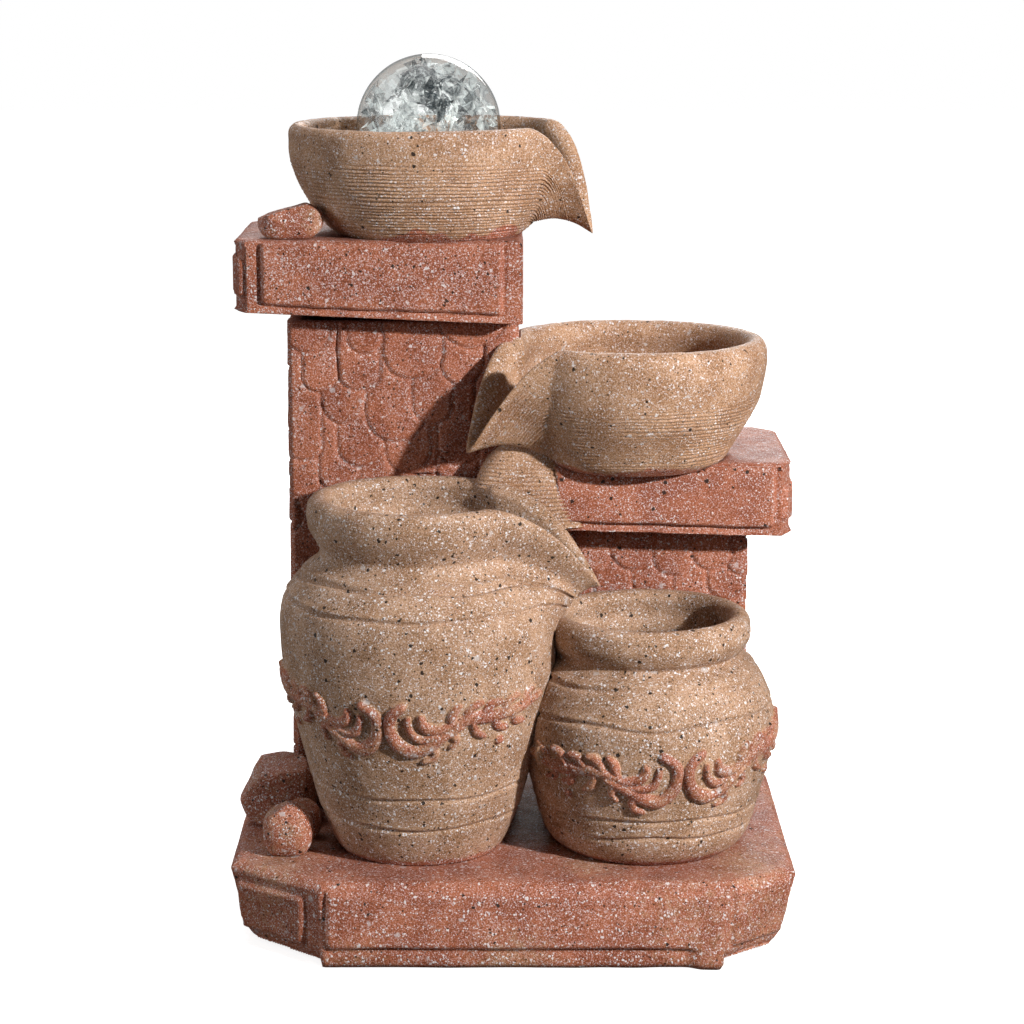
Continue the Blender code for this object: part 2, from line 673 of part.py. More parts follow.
def pump_rotor():
    """Shaft, magnet and vane wheel. The magnet and wheel turn on the fixed shaft."""
    middle = pump_axis_point(VOLUTE_BACK)
    start, end = pump_axis_point(PUMP_FRONT + 1 * MM), pump_axis_point(PUMP_BACK - 7.5 * MM)
    cylinder("impeller_shaft", SHAFT_RADIUS, start, end, CERAMIC, 12)
    bore = SHAFT_RADIUS + RUNNING_CLEARANCE
    magnet = ring_profile(bore, ROTOR_RADIUS, 1 * MM, 23 * MM)
    turned("rotor_magnet", magnet, middle, MAGNET, along_y=True)
    hub = ring_profile(bore, 4 * MM, -12 * MM, 1 * MM - GAP)
    disc = ring_profile(bore, IMPELLER_RADIUS, -4.5 * MM, -3 * MM)
    wheel = turned("impeller", hub, middle, WHITE_PLASTIC, along_y=True)
    helpers = [turned("impeller_disc", disc, middle, None, along_y=True)]
    for number in range(VANES):
        low = (2.5 * MM, -11 * MM, -0.7 * MM)
        vane = box(f"vane_{number}", low, (IMPELLER_RADIUS, -4 * MM, 0.7 * MM))
        vane.location = middle
        vane.rotation_euler.y = 2 * math.pi * number / VANES
        helpers.append(vane)
    join(wheel, *helpers)


def pump_grille():
    """The intake cover: a slotted box lid that slides off the front, with a dial that covers some of the slots."""
    x = UPPER_BOWL_AXIS.x
    depth = 7 * MM
    low = (x - PUMP_HALF_WIDTH, PUMP_FRONT - depth, PUMP_FLOOR + 1.5 * MM)
    high = (x + PUMP_HALF_WIDTH, PUMP_FRONT - GAP, 29.5 * MM)
    grille = rounded_box("pump_grille", low, high, 1.5 * MM, BLACK_PLASTIC)
    hollow = box(
        "grille_hollow",
        (low[0] + 1.5 * MM, low[1] + 2 * MM, low[2] + 1.5 * MM),
        (high[0] - 1.5 * MM, high[1] + 0.01, high[2] - 1.5 * MM),
    )
    slots = []
    for number in range(8):
        middle = low[0] + 4 * MM + number * (high[0] - low[0] - 8 * MM) / 7
        slot = box(
            f"slot_{number}",
            (middle - 0.8 * MM, low[1] - 0.01, low[2] + 3 * MM),
            (middle + 0.8 * MM, low[1] + 3 * MM, high[2] - 3 * MM),
        )
        slots.append(slot)
    cut(grille, hollow, *slots)
    face = Vector((x, low[1] - GAP, (low[2] + high[2]) / 2))
    dial = turned(
        "flow_regulator", [(0.0, 0.0), (6.5 * MM, 0.0), (6.5 * MM, -2 * MM), (0.0, -2 * MM)],
        face, WHITE_PLASTIC, along_y=True,
    )  # fmt: skip
    pointer = box("dial_pointer", (-0.8 * MM, -4 * MM, -5 * MM), (0.8 * MM, -1.5 * MM, 5 * MM))
    pointer.location = face
    join(dial, pointer)


def suction_cups():
    x = UPPER_BOWL_AXIS.x
    floor = PLINTH_FOOT + 0.8 * MM + FLOOR_THICKNESS + GAP
    height = PUMP_FLOOR - GAP - floor
    profile = [(0.0, height), (2.5 * MM, height), (2.8 * MM, height * 0.6), (6 * MM, 0.0), (0.0, height * 0.3)]
    number = 0
    for y in (VOLUTE_BACK - 6 * MM, PUMP_BACK - 7 * MM):
        for side in (-1, 1):
            number += 1
            turned(f"suction_cup_{number}", profile, (x + side * 12 * MM, y, floor), RUBBER, 12)


def hose():
    centre = (*UPPER_BOWL_AXIS, 0)
    turned("riser_hose", ring_profile(HOSE_BORE, HOSE_RADIUS, HOSE_FOOT, HOSE_TOP), centre, VINYL)
    clamp = ring_profile(HOSE_RADIUS + GAP, HOSE_RADIUS + 1.5 * MM, 46 * MM, 51 * MM)
    turned("hose_clamp", clamp, centre, STEEL)


# ---------------------------------------------------------------- access cover and small fittings


def access_cover(back_wall):
    """The plug-in cover in the tall column's back, its finger knob, and the way through the wall."""
    back = TALL_COLUMN[1][1]
    (left, low), (right, high) = ACCESS_LOW, ACCESS_HIGH
    way = box("access_way", (left, back - SHELL - 0.002, low), (right, back + 0.01, high))
    lead_way = cylinder(
        "lead_way",
        LEAD_HOLE_RADIUS,
        (UPPER_BOWL_AXIS.x, back - SHELL - 0.002, LEAD_HOLE_HEIGHT),
        (UPPER_BOWL_AXIS.x, back + 0.01, LEAD_HOLE_HEIGHT),
    )
    cut(back_wall, way, lead_way)
    plate = rounded_box(
        "access_cover",
        (left - COVER_LIP, back + GAP, low - COVER_LIP),
        (right + COVER_LIP, back + 3.2 * MM, high + COVER_LIP),
        1.2 * MM,
        TERRACOTTA,
    )
    slack = 0.6 * MM
    plug = box(
        "cover_plug",
        (left + slack, back - SHELL, low + slack),
        (right - slack, back + 1.5 * MM, high - slack),
    )
    join(plate, plug)
    knob = [(0.0, 5), (5, 5), (6, 3.8), (3.5, 1.5), (3.5, 0), (0.0, 0)]
    knob = scaled(knob)
    middle = ((left + right) / 2, back + 3.2 * MM + GAP, high - 12 * MM)
    turned("cover_knob", knob, middle, TERRACOTTA, along_y=True)


def lead_grommet():
    """A rubber grommet in the back wall, where the low-voltage lead leaves."""
    back = TALL_COLUMN[1][1]
    bore, neck, flange = 3.2 * MM, LEAD_HOLE_RADIUS - GAP, 8 * MM
    inner, outer = -SHELL - GAP, GAP
    profile = [
        (bore, inner - 1.5 * MM), (bore, outer + 1.8 * MM), (flange, outer + 1.8 * MM), (flange, outer),
        (neck, outer), (neck, inner), (flange, inner), (flange, inner - 1.5 * MM),
    ]  # fmt: skip
    turned("lead_grommet", profile, (UPPER_BOWL_AXIS.x, back, LEAD_HOLE_HEIGHT), RUBBER, along_y=True)


def drain_strainer():
    """A pierced disc over the drain in the short jar's floor."""
    floor = DECK + GAP + 8 * MM + GAP
    disc = cylinder(
        "drain_strainer", STRAINER_RADIUS, (*SHORT_JAR_AXIS, floor), (*SHORT_JAR_AXIS, floor + 1.6 * MM),
        BLACK_PLASTIC,
    )  # fmt: skip
    holes = []
    for number in range(6):
        angle = 2 * math.pi * number / 6
        x = SHORT_JAR_AXIS.x + 6 * MM * math.cos(angle)
        y = SHORT_JAR_AXIS.y + 6 * MM * math.sin(angle)
        holes.append(cylinder(f"strainer_hole_{number}", 1.8 * MM, (x, y, 0.0), (x, y, 0.1), steps=8))
    cut(disc, *holes)


def build():
    upper_bowl_cutter = upper_bowl()
    lower_bowl_cutter = lower_bowl()
    tall_jar_cutter = tall_jar()
    short_jar_cutter = short_jar(tall_jar_cutter)
    support_cutter = spout_support(lower_bowl_cutter, tall_jar_cutter)
    base_plinth()
    base_floor()
    tall = column("tall_column", TALL_COLUMN, UPPER_LEDGE_BOTTOM[1] - GAP, tall_jar_cutter)
    column("short_column", SHORT_COLUMN, LOWER_LEDGE_BOTTOM[1] - GAP, short_jar_cutter)
    upper_ledge(upper_bowl_cutter)
    lower_ledge(lower_bowl_cutter, support_cutter)
    stones()
    crystal_ball()
    ball_seat()
    light_ring()
    pump_housing()
    pump_rotor()
    pump_grille()
    suction_cups()
    hose()
    access_cover(tall)
    lead_grommet()
    drain_strainer()


build()
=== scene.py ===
"""Looks of a cast-stone tabletop fountain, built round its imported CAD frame.

Lengths in this file are millimetres unless a name says otherwise. They become metres when a mesh is made.
The cast-stone pieces replace their CAD nodes. The pump, light and fittings keep their CAD shapes and get
materials.
"""

import functools
import itertools
import json
import math

import bmesh
import bpy
import numpy as np
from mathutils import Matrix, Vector

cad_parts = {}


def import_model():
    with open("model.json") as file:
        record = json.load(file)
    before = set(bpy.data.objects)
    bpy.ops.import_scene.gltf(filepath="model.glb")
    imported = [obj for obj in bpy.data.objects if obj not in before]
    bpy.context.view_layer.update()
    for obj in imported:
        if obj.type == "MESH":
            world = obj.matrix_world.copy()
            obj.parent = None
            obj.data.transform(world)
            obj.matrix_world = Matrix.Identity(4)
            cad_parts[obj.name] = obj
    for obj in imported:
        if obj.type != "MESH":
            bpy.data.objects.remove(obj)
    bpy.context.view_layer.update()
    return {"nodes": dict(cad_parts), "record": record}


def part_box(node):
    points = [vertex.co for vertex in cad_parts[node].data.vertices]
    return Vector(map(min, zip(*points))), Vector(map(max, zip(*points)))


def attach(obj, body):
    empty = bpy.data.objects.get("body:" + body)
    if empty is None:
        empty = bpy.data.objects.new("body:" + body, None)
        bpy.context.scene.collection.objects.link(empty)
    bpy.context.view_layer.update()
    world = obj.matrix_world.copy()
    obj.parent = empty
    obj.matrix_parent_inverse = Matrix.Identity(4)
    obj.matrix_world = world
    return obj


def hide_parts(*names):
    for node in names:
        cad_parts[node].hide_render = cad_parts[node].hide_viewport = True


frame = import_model()
MM = 0.001
FLOOR_GAP = 0.05  # how far every piece stays above what it stands on


# ---------------------------------------------------------------- numbers and noise


def smooth(value):
    """0 below 0, 1 above 1, and an S-curve between."""
    value = np.clip(value, 0, 1)
    return value * value * (3 - 2 * value)


def lattice(cell, seed):
    """A fixed number from 0 to 1 for each whole-number cell."""
    cell = cell.astype(np.int64)
    mixed = cell[..., 0] * 73856093 ^ cell[..., 1] * 19349663 ^ cell[..., 2] * 83492791
    mixed = mixed ^ (seed * 374761393 + 668265263)
    mixed = (mixed ^ (mixed >> 13)) * 1274126177
    mixed = mixed ^ (mixed >> 16)
    return (mixed & 0xFFFFFF) / 0xFFFFFF


def noise(points, size, seed):
    """Smooth noise from -1 to 1 with features of about the given size."""
    scaled = points / size
    cell = np.floor(scaled)
    part = smooth(scaled - cell)
    total = 0.0
    for corner in itertools.product((0, 1), repeat=3):
        weight = np.prod(np.where(corner, part, 1 - part), axis=-1)
        total = total + weight * lattice(cell + corner, seed)
    return 2 * total - 1


def grain(points, seed):
    """The uneven face of a casting: broad swells, lumps and a sandy finish, in mm."""
    swells = 0.35 * noise(points, 30, seed)
    lumps = 0.16 * noise(points, 7, seed + 1)
    return swells + lumps + 0.07 * noise(points, 2.2, seed + 2)


def unit_vector(vector):
    return vector / np.linalg.norm(vector)


def run_lengths(points):
    """The distance along a line at each of its points."""
    return np.concatenate(([0], np.cumsum(np.linalg.norm(np.diff(points, axis=0), axis=1))))


def spline(points, step):
    """A smooth curve through points, sampled at equal steps along it."""
    points = np.array(points, float)
    padded = np.vstack((2 * points[0] - points[1], points, 2 * points[-1] - points[-2]))
    fine = []
    for before, start, end, after in zip(padded, padded[1:], padded[2:], padded[3:]):
        t = np.linspace(0, 1, 24, endpoint=False)[:, None]
        square = 2 * before - 5 * start + 4 * end - after
        cube = 3 * start - before - 3 * end + after
        fine.append(0.5 * (2 * start + (end - before) * t + square * t**2 + cube * t**3))
    fine = np.vstack(fine + [points[-1:]])
    lengths = run_lengths(fine)
    count = max(2, int(round(lengths[-1] / step)) + 1)
    wanted = np.linspace(0, lengths[-1], count)
    return np.stack([np.interp(wanted, lengths, column) for column in fine.T], -1)


# ---------------------------------------------------------------- meshes


def box_mm(node):
    low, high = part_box(node)
    return np.array(low) / MM, np.array(high) / MM


def mesh_object(name, points, faces):
    """A smooth-shaded object from points in mm and a list of arrays of faces."""
    mesh = bpy.data.meshes.new(name)
    mesh.vertices.add(len(points))
    mesh.vertices.foreach_set("co", (np.asarray(points, float) * MM).astype(np.float32).ravel())
    corners = np.concatenate([f.ravel() for f in faces]).astype(np.int32)
    sizes = np.concatenate([np.full(len(f), f.shape[1]) for f in faces]).astype(np.int32)
    mesh.loops.add(len(corners))
    mesh.loops.foreach_set("vertex_index", corners)
    mesh.polygons.add(len(sizes))
    starts = np.concatenate(([0], np.cumsum(sizes)[:-1]))
    mesh.polygons.foreach_set("loop_start", starts.astype(np.int32))
    mesh.update(calc_edges=True)
    mesh.validate()
    mesh.shade_smooth()
    piece = bpy.data.objects.new(name, mesh)
    bpy.context.scene.collection.objects.link(piece)
    return piece


def vectors_of(items, name):
    flat = np.empty(len(items) * 3, np.float32)
    items.foreach_get(name, flat)
    return flat.reshape(-1, 3).astype(float)


def points_of(mesh):
    return vectors_of(mesh.vertices, "co") / MM


def set_points(mesh, points):
    mesh.vertices.foreach_set("co", (points * MM).astype(np.float32).ravel())
    mesh.update()


def set_paint(piece, amount):
    """Where the terracotta paint is, from 0 to 1 at each vertex."""
    layer = piece.data.attributes.new("paint", "FLOAT", "POINT")
    layer.data.foreach_set("value", np.clip(amount, 0, 1).astype(np.float32))


def finish_piece(piece, body, slot, material, *nodes):
    piece.data.materials.clear()
    piece.data.materials.append(material)
    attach(piece, body)
    if nodes:
        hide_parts(*nodes)
    return piece


def grid_faces(rows, columns, close_rows=False):
    """Quads over rings of points. Each row is closed, and the last row may join the first."""
    row = np.arange(rows if close_rows else rows - 1)[:, None]
    column = np.arange(columns)[None, :]
    following = (column + 1) % columns
    above = (row + 1) % rows
    quads = (
        row * columns + column,
        row * columns + following,
        above * columns + following,
        above * columns + column,
    )
    return np.stack(quads, -1).reshape(-1, 4)


def ring_normals(points, close_rows=False):
    """Outward normals of a grid of rings."""
    around = np.roll(points, -1, axis=1) - np.roll(points, 1, axis=1)
    if close_rows:
        along = np.roll(points, -1, axis=0) - np.roll(points, 1, axis=0)
    else:
        along = np.gradient(points, axis=0)
    normal = np.cross(around, along)
    return normal / np.maximum(np.linalg.norm(normal, axis=-1, keepdims=True), 1e-9)


def capped(points, faces, rows, columns):
    """Adds a fan over the first ring and the last."""
    first = len(points)
    ends = np.vstack((points[:columns].mean(0), points[(rows - 1) * columns:].mean(0)))
    column = np.arange(columns)
    following = (column + 1) % columns
    last = (rows - 1) * columns
    bottom = np.stack((following, column, np.full(columns, first)), -1)
    top = np.stack((last + column, last + following, np.full(columns, first + 1)), -1)
    return np.vstack((points, ends)), faces + [bottom, top]


# ---------------------------------------------------------------- materials


class Nodes:
    """A short way to build the node tree of a material or a world."""

    def __init__(self, owner, output="ShaderNodeOutputMaterial"):
        owner.use_nodes = True
        self.owner = owner
        self.tree = owner.node_tree
        self.tree.nodes.clear()
        self.output = self.node(output)

    def node(self, kind, **settings):
        made = self.tree.nodes.new(kind)
        for key, value in settings.items():
            setattr(made, key, value)
        return made

    def feed(self, made, values):
        """Links or sets a node's inputs, which are named or numbered, and gives its outputs."""
        for label, value in values.items():
            if isinstance(value, bpy.types.NodeSocket):
                self.tree.links.new(value, made.inputs[label])
            else:
                made.inputs[label].default_value = value
        return made.outputs

    @functools.cached_property
    def place(self):
        """Object coordinates."""
        return self.node("ShaderNodeTexCoord").outputs["Object"]

    def attribute(self, name):
        return self.node("ShaderNodeAttribute", attribute_name=name).outputs["Fac"]

    def math(self, operation, a, b=0.0, c=0.0, clamp=False):
        made = self.node("ShaderNodeMath", operation=operation, use_clamp=clamp)
        return self.feed(made, {0: a, 1: b, 2: c})[0]

    def ramp(self, value, low, high, to_low=0.0, to_high=1.0):
        """Turns low to high into to_low to to_high, along an S-curve."""
        made = self.node("ShaderNodeMapRange", interpolation_type="SMOOTHSTEP")
        labels = ("Value", "From Min", "From Max", "To Min", "To Max")
        return self.feed(made, dict(zip(labels, (value, low, high, to_low, to_high))))["Result"]

    def mix(self, amount, a, b):
        made = self.node("ShaderNodeMix", data_type="RGBA")
        return self.feed(made, {"Factor": amount, "A": a, "B": b})["Result"]

    def noise(self, size, detail=2.0, vector=None):
        """Noise whose features are about `size` mm."""
        made = self.node("ShaderNodeTexNoise")
        return self.feed(made, {"Vector": vector or self.place, "Scale": 1 / (size * MM), "Detail": detail})

    def wobbled(self, amount, size):
        """Object coordinates shaken by up to `amount` mm, so that flecks aren't round."""
        made = self.node("ShaderNodeVectorMath", operation="MULTIPLY_ADD")
        shaken = self.noise(size, 1.0)["Color"]
        return self.feed(made, {0: shaken, 1: (2 * amount * MM,) * 3, 2: self.place})[0]

    def flecks(self, cell, share, small, large, soft, vector):
        """1 inside flecks, which lie in a share of the cells, `cell` mm wide. Their radii are in cells."""
        found = self.feed(self.node("ShaderNodeTexVoronoi"), {"Vector": vector, "Scale": 1 / (cell * MM)})
        chance = self.feed(self.node("ShaderNodeSeparateColor"), {0: found["Color"]})
        radius = self.math("MULTIPLY_ADD", chance[0], large - small, small)
        inside = self.ramp(self.math("SUBTRACT", radius, found["Distance"]), -soft * small, soft * small)
        return self.math("MULTIPLY", inside, self.math("LESS_THAN", chance[1], share))

    def bump(self, height, depth):
        """Bump of the given depth in mm."""
        made = self.node("ShaderNodeBump")
        return self.feed(made, {"Strength": 1.0, "Distance": depth * MM, "Height": height})["Normal"]

    def shader(self, kind, values):
        return self.feed(self.node("ShaderNode" + kind), values)[0]

    def finish(self, surface):
        """Shows a surface or a background, and gives the material or world."""
        self.feed(self.output, {"Surface": surface})
        return self.owner

    def principled(self, values):
        return self.finish(self.shader("BsdfPrincipled", values))


BOWL_SAND = ((0.47, 0.272, 0.155, 1), (0.35, 0.185, 0.095, 1))
JAR_SAND = ((0.455, 0.275, 0.168, 1), (0.335, 0.186, 0.100, 1))
CLAY_COLOURS = ((0.395, 0.127, 0.063, 1), (0.285, 0.079, 0.037, 1))
FLECK_WHITE = (0.75, 0.74, 0.77, 1)
FLECK_GREY = (0.55, 0.54, 0.56, 1)
FLECK_BLACK = (0.018, 0.012, 0.010, 1)
# Flecks, the lowest first: width of their cells, share of the cells that have one, smallest and largest
# radius in cells, softness of their edge, how far and how finely they are shaken, strength and colour.
FLECKS = {
    "smears": (6.5, 0.30, 0.08, 0.20, 0.9, (1.6, 2.5), 0.55, FLECK_GREY),
    "fine": (0.72, 0.40, 0.16, 0.44, 0.25, (0.35, 0.8), 0.72, FLECK_WHITE),
    "middle": (1.5, 0.38, 0.10, 0.36, 0.25, (0.5, 0.9), 0.85, FLECK_WHITE),
    "large": (4.0, 0.30, 0.09, 0.20, 0.25, (0.9, 1.4), 0.75, FLECK_WHITE),
    "specks": (2.2, 0.34, 0.09, 0.23, 0.15, (0.35, 0.8), 0.85, FLECK_BLACK),
    "black": (4.6, 0.36, 0.07, 0.20, 0.12, (0.7, 1.2), 0.95, FLECK_BLACK),
}


def strewn(nodes, colour, pepper, whites):
    """A colour with flecks strewn over it, and where each kind of fleck is."""
    spots = {}
    for kind, (cell, share, small, large, soft, shake, strength, tint) in FLECKS.items():
        if tint == FLECK_BLACK:
            share = share * pepper
        if tint == FLECK_WHITE:
            strength = strength * whites
        spots[kind] = nodes.flecks(cell, share, small, large, soft, nodes.wobbled(*shake))
        colour = nodes.mix(nodes.math("MULTIPLY", spots[kind], strength), colour, tint)
    return colour, spots


def stone_material(name, sand_colours, pepper, whites):
    """Sandy stone full of white, grey and black flecks, with terracotta where the mesh says, or all over."""
    nodes = Nodes(bpy.data.materials.new(name))
    mottle = nodes.ramp(nodes.noise(16, 4.0)["Fac"], 0.36, 0.64)
    colour = nodes.mix(mottle, *CLAY_COLOURS)
    if sand_colours:
        ragged = nodes.math("MULTIPLY_ADD", nodes.noise(2.6, 3.0)["Fac"], 0.7, -0.35)
        worn = nodes.ramp(nodes.math("ADD", nodes.attribute("paint"), ragged), 0.25, 0.75)
        colour = nodes.mix(worn, nodes.mix(mottle, *sand_colours), colour)
    dark = nodes.mix(0.52, colour, FLECK_BLACK)
    pale = nodes.mix(0.36, colour, FLECK_WHITE)
    sandy = nodes.noise(0.62, 3.0, nodes.wobbled(0.35, 0.8))["Fac"]
    colour = nodes.mix(nodes.ramp(sandy, 0.50, 0.36), colour, dark)
    colour = nodes.mix(nodes.ramp(sandy, 0.52, 0.68), colour, pale)
    colour, spots = strewn(nodes, colour, pepper, whites)
    pitted = nodes.math("MULTIPLY_ADD", spots["black"], -0.8, sandy)
    height = nodes.math("MULTIPLY_ADD", spots["middle"], 0.35, pitted)
    return nodes.principled({
        "Base Color": colour,
        "Roughness": nodes.ramp(nodes.noise(5, 3.0)["Fac"], 0.3, 0.7, 0.42, 0.62),
        "Normal": nodes.bump(height, 0.30),
        "Specular IOR Level": 0.22,
    })


def plastic_material(name, light, dark, roughness, grain_size, metallic, depth):
    """Moulded plastic, rubber, ceramic or metal: a slight mottle, an uneven gloss and a fine grain."""
    nodes = Nodes(bpy.data.materials.new(name))
    mottle = nodes.ramp(nodes.noise(9, 3.0)["Fac"], 0.3, 0.7)
    gloss = (roughness * 0.8, min(1.0, roughness * 1.2))
    return nodes.principled({
        "Base Color": nodes.mix(mottle, (*light, 1), (*dark, 1)),
        "Roughness": nodes.ramp(nodes.noise(3, 3.0)["Fac"], 0.3, 0.7, *gloss),
        "Normal": nodes.bump(nodes.noise(grain_size)["Fac"], depth),
        "Metallic": metallic,
    })


def clear_material(name, tint, roughness, transmission):
    """Clear plastic or vinyl with a slight haze."""
    nodes = Nodes(bpy.data.materials.new(name))
    haze = nodes.ramp(nodes.noise(4, 3.0)["Fac"], 0.3, 0.7)
    darker = (*(0.92 * value for value in tint), 1)
    return nodes.principled({
        "Base Color": nodes.mix(haze, (*tint, 1), darker),
        "Roughness": nodes.ramp(nodes.noise(2)["Fac"], 0.3, 0.7, roughness, roughness * 1.6),
        "Transmission Weight": transmission,
        "IOR": 1.46,
    })


SAND = stone_material("speckled_sand_stone", BOWL_SAND, 1.0, 0.95)
DUSTY_SAND = stone_material("speckled_dusty_sand_stone", JAR_SAND, 2.3, 1.15)
CLAY = stone_material("speckled_terracotta_stone", None, 1.1, 0.8)


# ---------------------------------------------------------------- bowls and jars

WALL = 6.5  # thickness of a vessel's wall
KEEL_ROUND = 0.07  # radians by which the fold under a beak is rounded
# Each vessel: its CAD node, its greatest radius, the side of its CAD box that it touches, its columns and
# the step between its rings, its stone, the outside of its wall as (radius, height), the lip's thickness and
# rise, the height of the floor inside, the radius of the drain, the greatest radius inside, and the beak.
UPPER_BOWL = dict(
    node="upper_bowl",
    widest=63.3,
    whole="left",
    mesh=(420, 0.3),
    stone=SAND,
    wall=((39, 0), (47, 7), (53.3, 15.5), (58.5, 25), (61.5, 33), (63, 40), (63.2, 47.2)),
    lip=(7.6, 4.5),
    floor=7.0,
    drain=8.0,
    spout=dict(angle=-10, half_width=28, root=(46, 7.5), tip=(75.5, 2.5), rim=51.7, arch=4),
)
LOWER_BOWL = dict(
    node="lower_bowl",
    widest=59.9,
    whole="right",
    mesh=(420, 0.3),
    stone=SAND,
    wall=((37, 0), (41.6, 3.4), (46, 10.3), (49.1, 15.8), (52.6, 21.8), (56.1, 28.6), (58.2, 35.5),
          (59.9, 44.6), (59.9, 51)),
    lip=(10.4, 6.5),
    floor=8.0,
    drain=0.0,
    spout=dict(angle=207, half_width=24, root=(43, 6), tip=(84.7, 10.5), rim=57.5, arch=5),
)
TALL_JAR = dict(
    node="tall_jar",
    widest=61.0,
    whole="left",
    mesh=(380, 0.62),
    stone=DUSTY_SAND,
    wall=((36, 0), (39.8, 7), (44.4, 18.5), (47.8, 30), (52.2, 46.5), (56.5, 65), (59.8, 81), (61, 97),
          (61, 106), (58.8, 115), (52.5, 124), (46, 129.3), (43.2, 133.7), (44.4, 137.4), (48, 144),
          (49, 149.8), (48.6, 153)),
    lip=(9.6, 4.7),
    floor=8.0,
    drain=0.0,
    spout=dict(angle=-4, half_width=38, root=(61, 100), tip=(80, 118), rim=157.7, arch=5),
)
SHORT_JAR = dict(
    node="short_jar",
    widest=56.3,
    whole="right",
    mesh=(380, 0.62),
    stone=DUSTY_SAND,
    wall=((39, 0), (43.3, 4), (46.8, 10.5), (50.1, 22), (53.1, 33.5), (55.5, 45), (56.3, 53.5),
          (55.6, 63.5), (52.3, 73), (47.7, 81), (41, 86.6), (43.2, 90.4), (45.3, 95), (45.2, 99.8)),
    lip=(9.6, 5.1),
    floor=8.0,
    drain=8.0,
    inside=41.0,
    spout=None,
)


RIDGE_PITCH = 1.75  # from one thrown ridge to the next
GROOVE_WIDTH = 0.9
# Scratched lines on the jars: height and depth.
TALL_JAR_LINES = ((125.0, 1.8), (115.0, 1.3), (33.0, 0.95), (18.5, 0.95))
SHORT_JAR_LINES = ((79.5, 1.1), (65.0, 1.0), (22.0, 1.0), (13.5, 0.95))


def axis_of(vessel):
    """The vessel's axis and the height of its foot, from its CAD box."""
    low, high = box_mm(vessel["node"])
    widest = vessel["widest"]
    x = low[0] + widest if vessel["whole"] == "left" else high[0] - widest
    return x, low[1] + widest, low[2]


def wall_radius(vessel, height):
    """The outside radius at a height above the vessel's foot."""
    curve = spline(vessel["wall"], 0.5)
    return np.interp(height, curve[:, 1], curve[:, 0])


def section(vessel):
    """The wall's section from the middle of the underside, up the outside, over the lip and down the inside.

    Gives radius, height, distance up the outside (held at the lip) and how far inside the wall each point is.
    """
    outer = spline(vessel["wall"], vessel["mesh"][1])
    thickness, rise = vessel["lip"]
    top_radius, top = outer[-1]
    angles = np.linspace(0, math.pi, 15)[1:-1]
    lip_radius = top_radius - thickness / 2 + thickness / 2 * np.cos(angles)
    lip = np.stack((lip_radius, top + rise * np.sin(angles)), -1)
    floor = vessel["floor"]
    heights = np.linspace(top, floor + 5, 24)
    merge = smooth((top - heights) / 12)
    wall = thickness + (WALL - thickness) * merge
    inner = np.interp(heights, outer[:, 1], outer[:, 0]) - wall
    inner = np.minimum(inner, vessel.get("inside", 1e3))
    corner = inner[-1] - 3.0
    start = max(vessel["drain"], 0.6)
    bend = np.array(
        ((inner[-1] - 0.6, floor + 2.2), (inner[-1] - 2.0, floor + 0.7), (corner - 1, floor))
    )
    across = np.stack((np.linspace(corner - 8, start, 8), np.full(8, floor)), -1)
    under = np.stack((np.linspace(start, outer[0, 0] - 1.2, 6), np.zeros(6)), -1)
    under = np.vstack((under, ((outer[0, 0] - 0.3, 0.25),)))
    inside_wall = np.stack((inner, heights), -1)
    points = np.vstack((under, outer, lip, inside_wall, bend, across))
    outer_run = run_lengths(outer)
    over = np.linspace(0, 1, len(lip) + 2)[1:-1]
    rest = len(inside_wall) + len(bend) + len(across)
    inward = np.concatenate((np.zeros(len(under) + len(outer)), over, np.ones(rest)))
    lip_run = outer_run[-1] + over * thickness
    end_run = np.full(rest, outer_run[-1] + thickness)
    run = np.concatenate((np.zeros(len(under)), outer_run, lip_run, end_run))
    return points[:, 0], points[:, 1], run, inward


def draw_spout(spout, radius, height, turn, inward):
    """Pulls a beak out of the wall. Gives the new x, y and height, and how strong the pull is."""
    root_radius, root_height = spout["root"]
    tip_radius, tip_height = spout["tip"]
    share = np.clip((height - root_height) / (spout["rim"] - root_height), 0, 1)
    offset = turn - math.radians(spout["angle"])
    offset = np.arctan2(np.sin(offset), np.cos(offset))
    away = np.sqrt(offset**2 + KEEL_ROUND**2) - KEEL_ROUND
    reach = math.radians(spout["half_width"]) * (0.45 + 0.55 * share)
    pull = np.maximum(0, 1 - away / reach) ** 1.15
    pull = np.where((share > 0) & (radius > 0.3 * root_radius), pull, 0)
    inner = smooth(2 * inward - 0.4)
    keel_radius = root_radius + share * (tip_radius - root_radius) - 2 * inner
    keel_height = root_height + share * (tip_height - root_height)
    keel_height = keel_height + spout["arch"] * np.sin(math.pi * share) + (1 - 0.5 * share) * 4 * inner
    along = radius * np.cos(offset)
    across = radius * np.sin(offset)
    along = along + pull * (keel_radius - along)
    height = height + pull**1.4 * (keel_height - height)
    back = math.radians(spout["angle"])
    x = along * math.cos(back) - across * math.sin(back)
    y = along * math.sin(back) + across * math.cos(back)
    return x, y, height, pull


